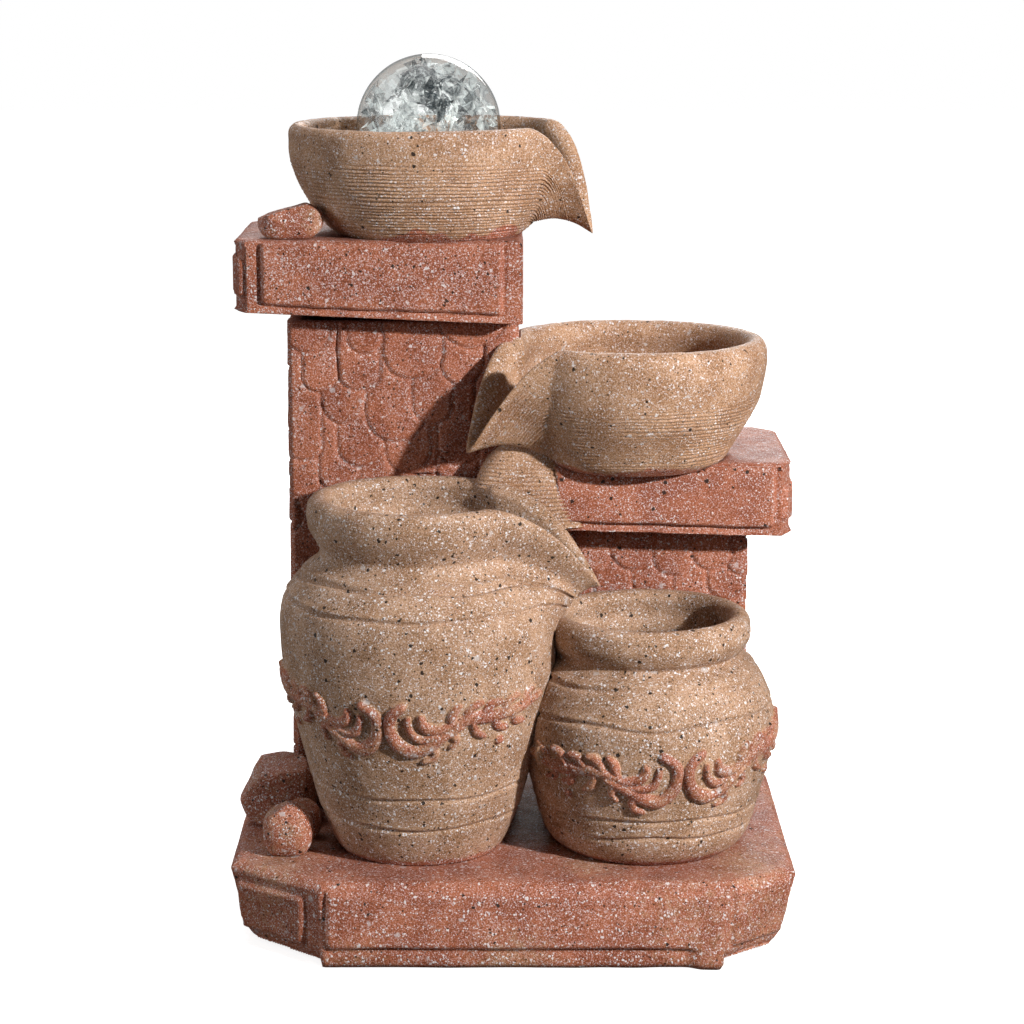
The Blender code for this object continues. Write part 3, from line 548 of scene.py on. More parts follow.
def vessel_piece(vessel, relief, paint, shape=None):
    """One bowl or jar: its section turned about its axis, its beak drawn out and its relief raised."""
    centre_x, centre_y, foot = axis_of(vessel)
    columns = vessel["mesh"][0]
    radius, height, run, inward = (np.repeat(values[:, None], columns, 1) for values in section(vessel))
    turn = np.linspace(0, 2 * math.pi, columns, endpoint=False) + 0 * radius
    if vessel["spout"]:
        x, y, lifted, pull = draw_spout(vessel["spout"], radius, height, turn, inward)
    else:
        x, y = radius * np.cos(turn), radius * np.sin(turn)
        lifted, pull = height, np.zeros_like(height)
    points = np.stack((centre_x + x, centre_y + y, foot + lifted), -1)
    if shape:
        points = shape(points, inward)
    closed = vessel["drain"] > 0
    normals = ring_normals(points, closed)
    outside = 1 - smooth(inward * 3)
    amount = relief(run, height, turn, pull) * outside
    amount = amount + grain(points, 11) * smooth((height - 0.3) / 1.5)
    points = points + normals * amount[..., None]
    rows = points.shape[0]
    faces = [grid_faces(rows, columns, closed)]
    flat = points.reshape(-1, 3)
    painted = paint(points, height, turn, inward).ravel()
    if not closed:
        flat, faces = capped(flat, faces, rows, columns)
        painted = np.concatenate((painted, (0, 0)))
    piece = mesh_object(vessel["node"] + "_casting", flat, faces)
    set_paint(piece, painted)
    finish_piece(piece, "fountain", "sand_resin", vessel["stone"], vessel["node"])


def round_place(turn, radius, height):
    """A point in space for each turn and height, so that noise runs round without a seam."""
    return np.stack((np.cos(turn) * radius, np.sin(turn) * radius, height), -1)


def thrown_ridges(run, turn, seed):
    """Wheel-thrown ridges with narrow grooves, each a little different, that waver round the bowl."""
    place = round_place(turn, 55, run)
    waver = 0.42 * noise(place, 30, seed) + 0.14 * noise(place, 9, seed + 1)
    phase = run / RIDGE_PITCH + waver + 0.25 * np.sin(run / 3.1) + 0.15 * np.sin(run / 1.3 + 1)
    ridge = np.abs(np.cos(math.pi * phase)) ** 0.75
    number = np.floor(phase + 0.5)
    strength = 0.55 + 0.45 * lattice(np.stack((number, number * 0, number * 0), -1), seed)
    patchy = np.clip(0.72 + 0.95 * noise(place, 17, seed + 2), 0.12, 1.3)
    return (ridge - 0.62) * strength * patchy


def upper_bowl_relief(run, height, turn, pull):
    edge = 39 + 3 * np.sin(3 * turn)
    zone = smooth((height - 1.5) / 4) * smooth((edge - height) / 5)
    return 1.2 * zone * thrown_ridges(run, turn, 3)


def lower_bowl_relief(run, height, turn, pull):
    beak = smooth(pull * 2.5)
    zone = smooth((height - 1.5) / 4) * smooth((36 + 19 * beak - height) / 8)
    return (0.75 + 0.65 * beak) * zone * thrown_ridges(run, turn, 7)


def groove(height, at, depth):
    """A scratched line round a jar, with a slight burr above it."""
    away = (height - at) / GROOVE_WIDTH
    return -depth * np.exp(-away**2) + 0.28 * depth * np.exp(-((away - 1.9) ** 2))


def jar_relief(lines, seed):
    """Scratched lines at the given heights and depths, that wander up and down as they go round."""
    def relief(run, height, turn, pull):
        place = round_place(turn, 50, turn * 0)
        total = 0.0
        for number, (at, depth) in enumerate(lines):
            total = total + groove(height, at + 1.6 * noise(place, 28, seed + number), depth)
        return total
    return relief


def foot_paint(points, height, inward, reach, seed):
    """Terracotta that has crept up from the ledge or the deck."""
    edge = reach * (0.7 + 0.6 * noise(points, 22, seed) + 0.25 * noise(points, 6, seed + 1))
    return smooth((edge - height) / 3 + 0.5) * (inward < 0.5)


def lip_wear(points, height):
    """A faint blush of terracotta in places."""
    return 0.10 * smooth(noise(points, 18, 61)) * (height > 0)


def upper_bowl_paint(points, height, turn, inward):
    right = 0.55 + 0.45 * np.cos(turn + 0.7)
    foot = 0.9 * foot_paint(points, height, inward, 11 * right, 31)
    # The terracotta added over the lip and inside is painted warm light, bounced between the bowl's walls.
    return foot + lip_wear(points, height) + 0.2 * inward


def lower_bowl_paint(points, height, turn, inward):
    # The terracotta added over the lip and inside is painted warm light, bounced between the bowl's walls.
    return 0.75 * foot_paint(points, height, inward, 5.5, 41) + 0.22 * inward


def jar_paint(points, height, turn, inward):
    # More terracotta towards the foot on the outside, strongest at the bottom.
    low_terracotta = 0.34 * smooth((30 - height) / 28) * (inward < 0.5)
    blush = 0.27 * smooth(0.5 + 0.9 * noise(points, 26, 53)) * smooth((height - 60) / 50)
    return np.maximum(0.7 * foot_paint(points, height, inward, 3.4, 51), low_terracotta + blush)


def flat_against_column(points, inward):
    """The lower bowl stops at the tall column's side, and its beak passes in front of the column."""
    low, high = box_mm("tall_column")
    side = high[0] + 0.3 + 3.5 * inward
    front = low[1] - 0.5
    into_side = side - points[..., 0]
    into_front = points[..., 1] - front
    inside = (into_side > 0) & (into_front > 0)
    round_corner = into_front - into_side
    points[..., 0] = np.where(inside, side + np.minimum(round_corner, 0), points[..., 0])
    points[..., 1] = np.where(inside, front + np.maximum(round_corner, 0), points[..., 1])
    return points


def pushed_out(points, vessel, wanted):
    """Points moved away from a vessel's axis where they are nearer to it than the wanted distance."""
    axis = np.array(axis_of(vessel)[:2])
    away = points[..., :2] - axis
    distance = np.linalg.norm(away, axis=-1)
    scale = np.maximum(distance, wanted) / np.maximum(distance, 1e-6)
    moved = points.copy()
    moved[..., :2] = axis + away * scale[..., None]
    return moved


def clear_of_tall_jar(points, inward):
    """The short jar's side stops at the tall jar's belly."""
    height = points[..., 2] - axis_of(TALL_JAR)[2]
    return pushed_out(points, TALL_JAR, wall_radius(TALL_JAR, height) + 0.4 + 2.0 * inward)


def vessels():
    vessel_piece(UPPER_BOWL, upper_bowl_relief, upper_bowl_paint)
    vessel_piece(LOWER_BOWL, lower_bowl_relief, lower_bowl_paint, flat_against_column)
    vessel_piece(TALL_JAR, jar_relief(TALL_JAR_LINES, 71), jar_paint)
    vessel_piece(SHORT_JAR, jar_relief(SHORT_JAR_LINES, 81), jar_paint, clear_of_tall_jar)


# ---------------------------------------------------------------- scroll relief on the jars

# One scroll: strokes as (distance from the pair's middle, height) points, with a width and a rise.
SCROLL = (
    (((8.3, 11), (4.2, 7.6), (2.5, 2.4), (3.3, -2.8), (6.6, -7.1), (12.5, -9.7), (19, -8), (25, -3.5),
      (32, 0)), 2.6, 2.7),
    (((10.5, 5), (10.8, 1), (13.5, -2.5), (18, -4), (23, -3)), 1.7, 2.2),
    (((16, 6), (17, 2.5), (20, 0), (25, 0), (30, 2)), 2.0, 2.4),
    (((25, -2), (34, 2.6), (43, 3), (53, 2), (64, 3), (75, 5)), 2.5, 2.3),
    (((28, 2), (29, 6.5), (31.5, 9.5)), 1.7, 2.1),
    (((34, 4), (37, 8), (41, 9.5)), 1.8, 2.2),
    (((43, 4), (46, 8), (50, 8.5)), 1.9, 2.1),
    (((52, 3), (55, 8), (59, 9.5)), 1.8, 2.2),
    (((62, 4), (65, 8), (69, 10)), 1.7, 2.0),
    (((28, -2), (31, -6.5), (29, -9)), 1.6, 2.0),
    (((38, 1), (40.5, -4), (44, -6)), 1.7, 2.0),
    (((48, 1), (51, -3.5), (55, -4.5)), 1.7, 1.9),
    (((58, 2), (60.5, -3), (65, -4)), 1.7, 1.9),
    (((20, -8), (22, -11), (20.5, -14), (17, -14.5)), 1.6, 2.1),
    (((52.4, -10.2), (53.2, -9.8)), 2.4, 1.7),
)
SCROLL_LOW, SCROLL_HIGH = (0.0, -18.0), (79.0, 15.0)
SCROLL_PITCH = 0.42  # between the points of the sheet
SCROLL_CUT = -0.55  # the sheet ends this far under the jar's wall


def scroll_height(across, up, seed):
    """The relief's height over the jar's wall in mm, below 0 where the wall is bare."""
    place = np.stack((across, up, across * 0 + 17 * seed), -1)
    across = across + 0.5 * noise(place, 5, seed)
    up = up + 0.5 * noise(place, 5, seed + 1)
    tallest = np.full(across.shape, -1.0)
    for points, width, rise in SCROLL:
        line = spline(points, 0.9)
        share = np.linspace(0, 1, len(line))
        taper = 1.22 * width * (0.6 + 0.4 * np.sin(math.pi * np.clip(share * 0.9 + 0.05, 0, 1)))
        for (x, y), half in zip(line, taper):
            away = np.hypot(across - x, up - y) / half
            dome = rise * np.sqrt(np.clip(1 - away**2, 0, 1)) - 0.9 * np.clip(away - 1, 0, 1)
            tallest = np.maximum(tallest, dome)
    vein = 0.28 * np.abs(noise(place, 2.4, seed + 2))
    return tallest - vein * (tallest > 0) + 0.12 * noise(place, 1.3, seed + 3)


def shown_faces(rise, side):
    """Quads over the parts of a sheet that rise from the wall, and the points that they use."""
    rows, columns = rise.shape
    row, column = np.meshgrid(np.arange(rows - 1), np.arange(columns - 1), indexing="ij")
    order = (0, 1, columns + 1, columns) if side > 0 else (0, columns, columns + 1, 1)
    quads = np.stack([row * columns + column + k for k in order], -1).reshape(-1, 4)
    quads = quads[rise.ravel()[quads].max(1) > SCROLL_CUT]
    used = np.unique(quads)
    index = np.full(rows * columns, -1)
    index[used] = np.arange(len(used))
    return index[quads], used


def scroll_piece(vessel, name, band, middle_turn, side, tilt, seed):
    """A moulded scroll that lies on a jar's wall, on one side of the pair's middle."""
    centre_x, centre_y, foot = axis_of(vessel)
    across = np.arange(SCROLL_LOW[0], SCROLL_HIGH[0], SCROLL_PITCH)
    up = np.arange(SCROLL_LOW[1], SCROLL_HIGH[1], SCROLL_PITCH)
    up_grid, across_grid = np.meshgrid(up, across, indexing="ij")
    rise = scroll_height(across_grid, up_grid, seed)
    height = band - foot + up_grid + tilt * np.maximum(across_grid - 8, 0)
    slope = wall_radius(vessel, height + 0.5) - wall_radius(vessel, height - 0.5)
    lean = np.arctan(-slope)
    turn = middle_turn + side * across_grid / wall_radius(vessel, band - foot)
    radius = wall_radius(vessel, height) + (rise + 0.05) * np.cos(lean)
    x, y = centre_x + radius * np.cos(turn), centre_y + radius * np.sin(turn)
    points = np.stack((x, y, foot + height + rise * np.sin(lean)), -1).reshape(-1, 3)
    faces, used = shown_faces(rise, side)
    piece = mesh_object(name, points[used], [faces])
    worn = 0.5 + 0.5 * noise(points[used], 11, seed + 5)
    set_paint(piece, smooth((rise.ravel()[used] + 0.5) / 1.2) * (0.40 + 0.36 * worn))
    finish_piece(piece, "fountain", "terracotta_resin", SAND)


def scrolls():
    front = -math.pi / 2
    lean = math.radians(13.6)
    for vessel, name, band, middle, tilts in (
        (TALL_JAR, "tall_jar", 103.5, front - lean, (0.06, 0.12)),
        (SHORT_JAR, "short_jar", 80.0, front + lean, (0.12, 0.0)),
    ):
        for number, turn in enumerate((middle, middle + math.pi)):
            stem = f"{name}_scroll_{number}"
            scroll_piece(vessel, stem + "_right", band, turn, 1, tilts[0], 5 + number)
            scroll_piece(vessel, stem + "_left", band, turn, -1, tilts[1], 15 + number)


# ---------------------------------------------------------------- castings that follow their CAD solids


def apply_modifiers(piece):
    graph = bpy.context.evaluated_depsgraph_get()
    mesh = bpy.data.meshes.new_from_object(piece.evaluated_get(graph))
    piece.modifiers.clear()
    piece.data = mesh


def remeshed(node, name, voxel, rounding):
    """A copy of a CAD solid in even quads, with its edges softened."""
    piece = bpy.data.objects.new(name, frame["nodes"][node].data.copy())
    bpy.context.scene.collection.objects.link(piece)
    remesh = piece.modifiers.new("even", "REMESH")
    remesh.mode = "VOXEL"
    remesh.voxel_size = voxel * MM
    soften = piece.modifiers.new("soften", "SMOOTH")
    soften.factor = 0.5
    soften.iterations = rounding
    apply_modifiers(piece)
    piece.data.name = name
    piece.data.shade_smooth()
    return piece


FEW_POINTS = 500  # too few hidden points to be worth merging


def thinned(piece, hidden):
    """Merges faces inside a hollow casting, where nothing shows."""
    inside = np.flatnonzero(hidden)
    if len(inside) < FEW_POINTS:
        return
    group = piece.vertex_groups.new(name="inside")
    group.add(inside.tolist(), 1.0, "REPLACE")
    thin = piece.modifiers.new("thin", "DECIMATE")
    thin.ratio = 1 - 0.93 * len(inside) / len(hidden)
    thin.vertex_group = group.name
    thin.vertex_group_factor = 10
    apply_modifiers(piece)
    piece.vertex_groups.clear()


def casting(node, voxel, rounding, relief, body="fountain", rim=None, drop=0.0, paint=None):
    """A terracotta casting: the CAD solid, finely meshed, with relief(points, normals) raised on its outside.

    rim is an outline whose top edge is rounded, with a radius. drop pulls the foot's edge down, and
    paint(points) says where the terracotta is if it isn't everywhere.
    """
    piece = remeshed(node, node + "_casting", voxel, rounding)
    mesh = piece.data
    low, high = box_mm(node)
    if rim:
        set_points(mesh, rounded_rim(points_of(mesh), rim[0], high[2], rim[1]))
    points = points_of(mesh)
    normals = vectors_of(mesh.vertex_normals, "vector")
    middle = (low + high) / 2
    outward = ((points - middle)[:, :2] * normals[:, :2]).sum(1) > 0
    side = np.abs(normals[:, 2]) < 0.6
    near_top = (points[:, 2] > high[2] - 5) & (normals[:, 2] > 0)
    near_foot = points[:, 2] < low[2] + 2.5
    outer = np.where(side, outward, near_top | near_foot)
    amount = relief(points, normals) * outer
    moved = points + normals * amount[:, None]
    moved[:, 2] -= drop * smooth((low[2] + 6 - points[:, 2]) / 5) * outer
    moved[:, 2] = np.maximum(moved[:, 2], FLOOR_GAP)
    set_points(mesh, moved)
    thinned(piece, ~outer)
    if paint:
        set_paint(piece, paint(points_of(piece.data)))
    finish_piece(piece, body, "terracotta_resin", SAND if paint else CLAY, node)


PANEL_CORNER = 2.0  # radius of the panels' corners


def facing(normals, direction, sharp=0.72):
    """1 where a normal points along a level direction, 0 where it points elsewhere."""
    direction = unit_vector(np.array(direction, float))
    return smooth((normals[:, :2] @ direction - sharp) / 0.12)


def panel(u, z, low, high, proud, edge):
    """A raised rectangle with rounded corners and a groove round it."""
    half = (np.array(high) - np.array(low)) / 2 - PANEL_CORNER
    centre = (np.array(high) + np.array(low)) / 2
    away = np.stack((np.abs(u - centre[0]), np.abs(z - centre[1])), -1) - half
    outside = np.linalg.norm(np.maximum(away, 0), axis=-1) + np.minimum(away.max(-1), 0) - PANEL_CORNER
    raised = proud * smooth(0.5 - outside / edge)
    line = -0.55 * np.exp(-(((outside - 1.0) / 0.9) ** 2))
    return raised + line


def outline_faces(outline):
    """Start, direction, length and normal of each face of a convex outline, anticlockwise from above."""
    for start, end in zip(outline, outline[1:] + outline[:1]):
        start, end = np.array(start, float), np.array(end, float)
        length = np.linalg.norm(end - start)
        along = (end - start) / length
        yield start, along, length, np.array((along[1], -along[0]))


def rounded_rim(points, outline, top, radius):
    """Rounds the edge between a slab's top and its sides."""
    distance = np.full(len(points), 1e3)
    inward = np.zeros((len(points), 2))
    for start, _, _, out in outline_faces(outline):
        depth = (start - points[:, :2]) @ out
        nearer = depth < distance
        distance = np.where(nearer, depth, distance)
        inward[nearer] = -out
    below = top - points[:, 2]
    near = (distance < radius) & (below < radius)
    across = radius - np.maximum(distance, -0.5)
    up = radius - np.maximum(below, -0.5)
    length = np.hypot(across, up)
    scale = np.where(near & (length > radius), radius / np.maximum(length, 1e-6), 1.0)
    moved = points.copy()
    moved[:, :2] += inward * (across * (1 - scale))[:, None]
    moved[:, 2] -= up * (1 - scale)
    return moved


def sloped(x, slope):
    """Height of a line that runs level outside two places and slopes between them."""
    (left, right), (left_z, right_z) = slope
    return left_z + (right_z - left_z) * np.clip((x - left) / (right - left), 0, 1)


def panelled(outline, front_panel, slope, top, plain):
    """Relief of a ledge: a wide raised panel on its front, and one on each other side that isn't plain."""
    def relief(points, normals):
        total = 0.45 * grain(points, 21)
        bottom = sloped(points[:, 0], slope)
        above = points[:, 2] - bottom
        wander = 0.4 * noise(points, 21, 77)
        for number, (start, along, length, out) in enumerate(outline_faces(outline)):
            if number == plain:
                continue
            u = (points[:, :2] - start) @ along
            if number == 0:
                low, high = ((x - start[0], z) for x, z in front_panel)
                lifted = panel(u, above + wander, low, high, 2.7, 0.9) - 1.0
            else:
                edge = min(9.0, 0.2 * length)
                high = (length - edge, top - 10.5 - float(bottom.mean()))
                lifted = panel(u, above + wander, (edge, 6.5), high, 2.4, 1.6) - 0.8
            total = total + lifted * facing(normals, out)
        return total
    return relief


UPPER_LEDGE_OUTLINE = [(-118, -7), (4.9, -7), (4.9, 94), (-112, 94), (-124, 82), (-124, 4)]
LOWER_LEDGE_OUTLINE = [(2.6, -8), (121.5, -8), (127, 6), (127, 80), (117, 92), (2.6, 92)]
PLINTH_OUTLINE = [
    (-82, -95), (94, -95), (124.2, -73), (124.2, 70),
    (98.2, 96), (-98.2, 96), (-124.2, 70), (-124.2, -64),
]
DECK = 36.5  # height of the plinth's top


def sandy_left_end(points):
    """The lower ledge's front is bare sand stone where it meets the clay under the beak."""
    edge = 17 + 5 * noise(points, 9, 91)
    return np.maximum(smooth((points[:, 0] - edge) / 5 + 0.5), smooth((points[:, 1] - 20) / 12))


def ledges():
    upper = panelled(UPPER_LEDGE_OUTLINE, ((-110, 4.3), (-4.5, 60)), ((-124, 4.9), (270.5, 265)), 302, 1)
    casting("upper_ledge", 0.8, 3, upper, rim=(UPPER_LEDGE_OUTLINE, 3.5))
    lower = panelled(LOWER_LEDGE_OUTLINE, ((-20, 4.3), (117, 60)), ((2.6, 127), (173, 169.5)), 203, 5)
    casting("lower_ledge", 0.8, 3, lower, rim=(LOWER_LEDGE_OUTLINE, 5.0), paint=sandy_left_end)


# ---------------------------------------------------------------- stone cladding

# Tongue stones on the columns' fronts: middle, width and bottom edge.
TALL_COLUMN_STONES = (
    (-92, 20, 249.4), (-18, 30, 252), (-66.2, 16, 249), (-44.6, 27, 237.6), (-22.5, 20, 235.5),
    (-86.3, 16, 232), (-69, 19, 232), (-36, 18, 217.5), (-76, 20, 217.5), (-52.5, 27, 209),
    (-68.5, 21, 197.7), (-47, 21, 195), (-94, 16, 200.5), (-3, 18, 226), (-8, 18, 205), (-24, 20, 199),
)
SHORT_COLUMN_STONES = (
    (21, 15, 151), (36, 19, 147.5), (54.5, 20, 150), (73, 19, 147), (91, 19, 149.5), (104, 14, 147),
    (28, 18, 135), (46, 19, 133.5), (64, 19, 136), (82, 18, 134), (98, 18, 135.5),
)
ROW = 14.5  # height of a row of stones


def chance(numbers, seed):
    """A fixed number from 0 to 1 for up to three whole numbers."""
    return float(lattice(np.array((numbers,)), seed)[0])


def stone_rows(low_u, high_u, low_z, high_z, seed):
    """Staggered rows of tongue stones."""
    stones = []
    rows = int((high_z - low_z) / ROW) + 1
    for row in range(rows):
        u = low_u - 9 * (row % 2) - 4
        number = 0
        while u < high_u + 8:
            width = 15 + 9 * chance((row, number, 0), seed)
            drop = 8 * chance((row, number, 0), seed + 1) - 4
            stones.append((u + width / 2, width * 1.06, high_z - ROW * (row + 0.6) + drop))
            u += width
            number += 1
    return stones


def tongues(u, z, stones, points, seed):
    """Overlapping tongue stones: the one with the highest bottom edge lies on top."""
    u = u + 0.7 * noise(points, 9, seed) + 0.25 * noise(points, 3, seed + 1)
    z = z + 0.8 * noise(points, 9, seed + 2) + 0.25 * noise(points, 3, seed + 3)
    own = np.zeros(len(u))
    covered = np.full(len(u), 50.0)
    taken = np.zeros(len(u), bool)
    tilt = np.zeros(len(u))
    for number, (middle, width, bottom) in enumerate(sorted(stones, key=lambda s: -s[2])):
        half = width / 2
        away_u = np.abs(u - middle)
        below = np.maximum(bottom + half - z, 0)
        depth = half - np.hypot(away_u, below)
        inside = (depth > 0) & ~taken
        own = np.where(inside, depth, own)
        lean = 1.1 * (chance((number, 0, 0), seed) - 0.5)
        swell = 0.3 * (1 - np.clip((z - bottom) / 14, 0, 1))
        tilt = np.where(inside, lean * (u - middle) / half + swell, tilt)
        covered = np.where(~taken & ~inside, np.minimum(covered, -depth), covered)
        taken |= inside
    rise = 1.5 * smooth(own / 1.3 + 0.1)
    shade = 1.15 * (1 - smooth(covered / 1.25))
    return np.where(taken, rise + tilt - shade, 0.0)


def cladding(node, front_stones, seed):
    """Tongue stones on a column's four sides: the given ones on its front, and rows of them elsewhere."""
    low, high = box_mm(node)
    sides = (
        ((0, -1), 0, 1, low[0], high[0], front_stones),
        ((-1, 0), 1, -1, -high[1], -low[1], ()),
        ((1, 0), 1, 1, low[1], high[1], ()),
        ((0, 1), 0, -1, -high[0], -low[0], ()),
    )

    def relief(points, normals):
        total = 0.5 * grain(points, seed) - 0.6
        for number, (out, axis, sign, start, end, given) in enumerate(sides):
            top = high[2] + 2
            base = low[2] - 6
            if given:
                top = min(stone[2] for stone in given) - 2
            stones = list(given) + stone_rows(start, end, base, top, seed + 10 * number)
            raised = tongues(points[:, axis] * sign, points[:, 2], stones, points, seed + 10 * number + 3)
            total = total + raised * facing(normals, out, 0.8)
        return total
    return relief


def columns():
    casting("tall_column", 0.95, 3, cladding("tall_column", TALL_COLUMN_STONES, 101))
    casting("short_column", 0.95, 3, cladding("short_column", SHORT_COLUMN_STONES, 201))


def cover():
    """The pump's cover carries the column's stones on, and its knob is a plain turned one."""
    low, high = box_mm("access_cover")
    stones = stone_rows(-high[0], -low[0], low[2] - 6, high[2] + 6, 141)

    def relief(points, normals):
        raised = tongues(-points[:, 0], points[:, 2], stones, points, 144)
        return 0.4 * grain(points, 147) + raised * facing(normals, (0, 1), 0.8)
    casting("access_cover", 0.6, 2, relief, "cover")
    casting("cover_knob", 0.4, 3, lambda points, normals: 0.5 * grain(points, 148), "cover")


# ---------------------------------------------------------------- plinth


PLINTH_FLARE = 8.5  # how far the front's foot stands out from its top
# Raised panels on the plinth's slanting corners: the face's ends, the panel's corners, its rise and its edge.
CORNER_PANELS = (
    ((-124.2, -64), (-82, -95), (4.5, 7), (42.5, 28.5), 2.3, 3.0),
    ((94, -95), (124.2, -73), (2.5, 8), (33.5, 60), 1.1, 1.8),
)
# Raised panels on its straight sides: the way the side faces, its axis and sign, and the panel's ends.
SIDE_PANELS = (((-1, 0), 1, -1, -63, 57), ((1, 0), 1, 1, -64, 62), ((0, 1), 0, -1, -88, 88))


def corner_panel(points, normals, start, end, low, high, proud, edge):
    """A raised panel on one of the plinth's slanting corners."""
    start, end = np.array(start, float), np.array(end, float)
    along = unit_vector(end - start)
    u = (points[:, :2] - start) @ along
    raised = panel(u, points[:, 2], low, high, proud, edge)
    return raised * facing(normals, (along[1], -along[0]), 0.86)


def plinth_relief(points, normals):
    total = 0.5 * grain(points, 301)
    z = points[:, 2] + 0.5 * noise(points, 26, 302)
    fade = smooth((82 - points[:, 0]) / 8)
    front = (panel(points[:, 0], z, (-79, 9.6), (400, 60), 2.6, 1.0) - 2.6) * fade
    flare = PLINTH_FLARE * np.clip(1 - points[:, 2] / DECK, 0, 1)
    total = total + (front + flare) * facing(normals, (0, -1), 0.9)
    for corner in CORNER_PANELS:
        total = total + corner_panel(points, normals, *corner)
    for out, axis, sign, start_u, end_u in SIDE_PANELS:
        side = panel(points[:, axis] * sign, z, (start_u, 7.5), (end_u, 28.5), 1.8, 1.6)
        total = total + side * facing(normals, out, 0.9)
    deck = smooth((normals[:, 2] - 0.7) / 0.2)
    total = total + deck * (0.4 * noise(points, 15, 311) + 0.25 * noise(points, 5, 312))
    foot = smooth((9 - points[:, 2]) / 7)
    sides = 1 - facing(normals, (0, -1), 0.9)
    return total - foot * (3.2 * foot * sides + 0.4 * noise(points, 13, 313))


def plinth_paint(points):
    """Sandy in places, where the paint is thin."""
    return 0.74 + 0.3 * noise(points, 34, 321)


def plinth():
    casting("base_plinth", 1.1, 5, plinth_relief, rim=(PLINTH_OUTLINE, 6.0), drop=1.6, paint=plinth_paint)


# ---------------------------------------------------------------- loose stones and the spout's support


def sphere(subdivisions):
    """Points and faces of a unit sphere of nearly equal triangles."""
    bm = bmesh.new()
    bmesh.ops.create_icosphere(bm, subdivisions=subdivisions, radius=1.0)
    points = np.array([v.co for v in bm.verts])
    faces = np.array([[v.index for v in f.verts] for f in bm.faces])
    bm.free()
    return points, faces


# Stones: CAD node, seed, how lumpy, and cuts, each a direction and how far out it flattens the stone.
STONES = (
    ("boulder_left", 401, 1.4, (
        ((-0.15, -0.2, 1), 0.62), ((-0.9, -0.1, 0.55), 0.72),
        ((0, -1, 0.35), 0.78), ((-0.5, -0.8, -0.1), 0.85),
    )),
    ("pebble_front", 411, 0.8, (((-0.6, 0, 1), 0.86),)),
    ("pebble_middle", 421, 0.8, (((0.2, -0.3, 1), 0.8),)),
    ("pebble_upper", 431, 1.6, (((-0.5, 0, 1), 0.55), ((0.1, -1, 0.6), 0.8), ((-1, -0.3, 0.1), 0.86))),
)
STONE_POWER = 2.35  # 2 is a ball, and more is squarer


def stone(node, seed, lumps, cuts):
    """A stone inside its CAD node's box, standing flat."""
    low, high = box_mm(node)
    half = (high - low) / 2
    half[2] = 0.56 * (high[2] - low[2])
    centre = (low + high) / 2
    centre[2] = high[2] - half[2]
    unit, faces = sphere(6)
    square = (np.abs(unit) ** STONE_POWER).sum(1) ** (-1 / STONE_POWER)
    shape = unit * square[:, None]
    for direction, reach in cuts:
        direction = unit_vector(np.array(direction))
        beyond = np.maximum(shape @ direction - reach, 0)
        shape = shape - 0.88 * beyond[:, None] * direction
    points = shape * half * 0.985
    swell = lumps * noise(unit * 20, 13, seed) + 0.25 * lumps * noise(unit * 20, 5, seed + 1)
    points = points * (1 + 0.045 * swell)[:, None] + centre
    points = points + unit * (0.5 * grain(points, seed))[:, None]
    points[:, 2] = np.maximum(points[:, 2], low[2] + FLOOR_GAP)
    name = "boulder_casting" if node == "boulder_left" else node + "_casting"
    piece = mesh_object(name, points, [faces])
    set_paint(piece, 0.64 + 0.2 * noise(points, 12, seed + 2))
    finish_piece(piece, "fountain", "terracotta_resin", DUSTY_SAND, node)


def bead():
    """A small egg of sandy clay that sticks to the short jar's side, next to the tall jar."""
    x, y, foot = axis_of(SHORT_JAR)
    height, turn = 48.5, math.radians(213.5)
    radius = wall_radius(SHORT_JAR, height) + 0.9
    unit, faces = sphere(4)
    points = unit * (2.5, 2.5, 4.6) * (1 - 0.12 * unit[:, 2:])
    points = points + (x + radius * math.cos(turn), y + radius * math.sin(turn), foot + height)
    points = points + unit * (0.6 * grain(points, 441))[:, None]
    piece = mesh_object("clay_bead", points, [faces])
    set_paint(piece, np.full(len(points), 0.15))
    finish_piece(piece, "fountain", "sand_resin", DUSTY_SAND)


def stones():
    for settings in STONES:
        stone(*settings)
    bead()


def clear_of_jar_rim(points):
    """Keeps the clay outside the tall jar, touching it."""
    height = points[..., 2] - axis_of(TALL_JAR)[2]
    rim = TALL_JAR["wall"][-1][1] + TALL_JAR["lip"][1]
    wanted = wall_radius(TALL_JAR, np.minimum(height, 150)) - 0.4
    return pushed_out(points, TALL_JAR, wanted * smooth((rim - height) / 4))


DOME_POWER = 3.2  # 2 is round, and more is squarer


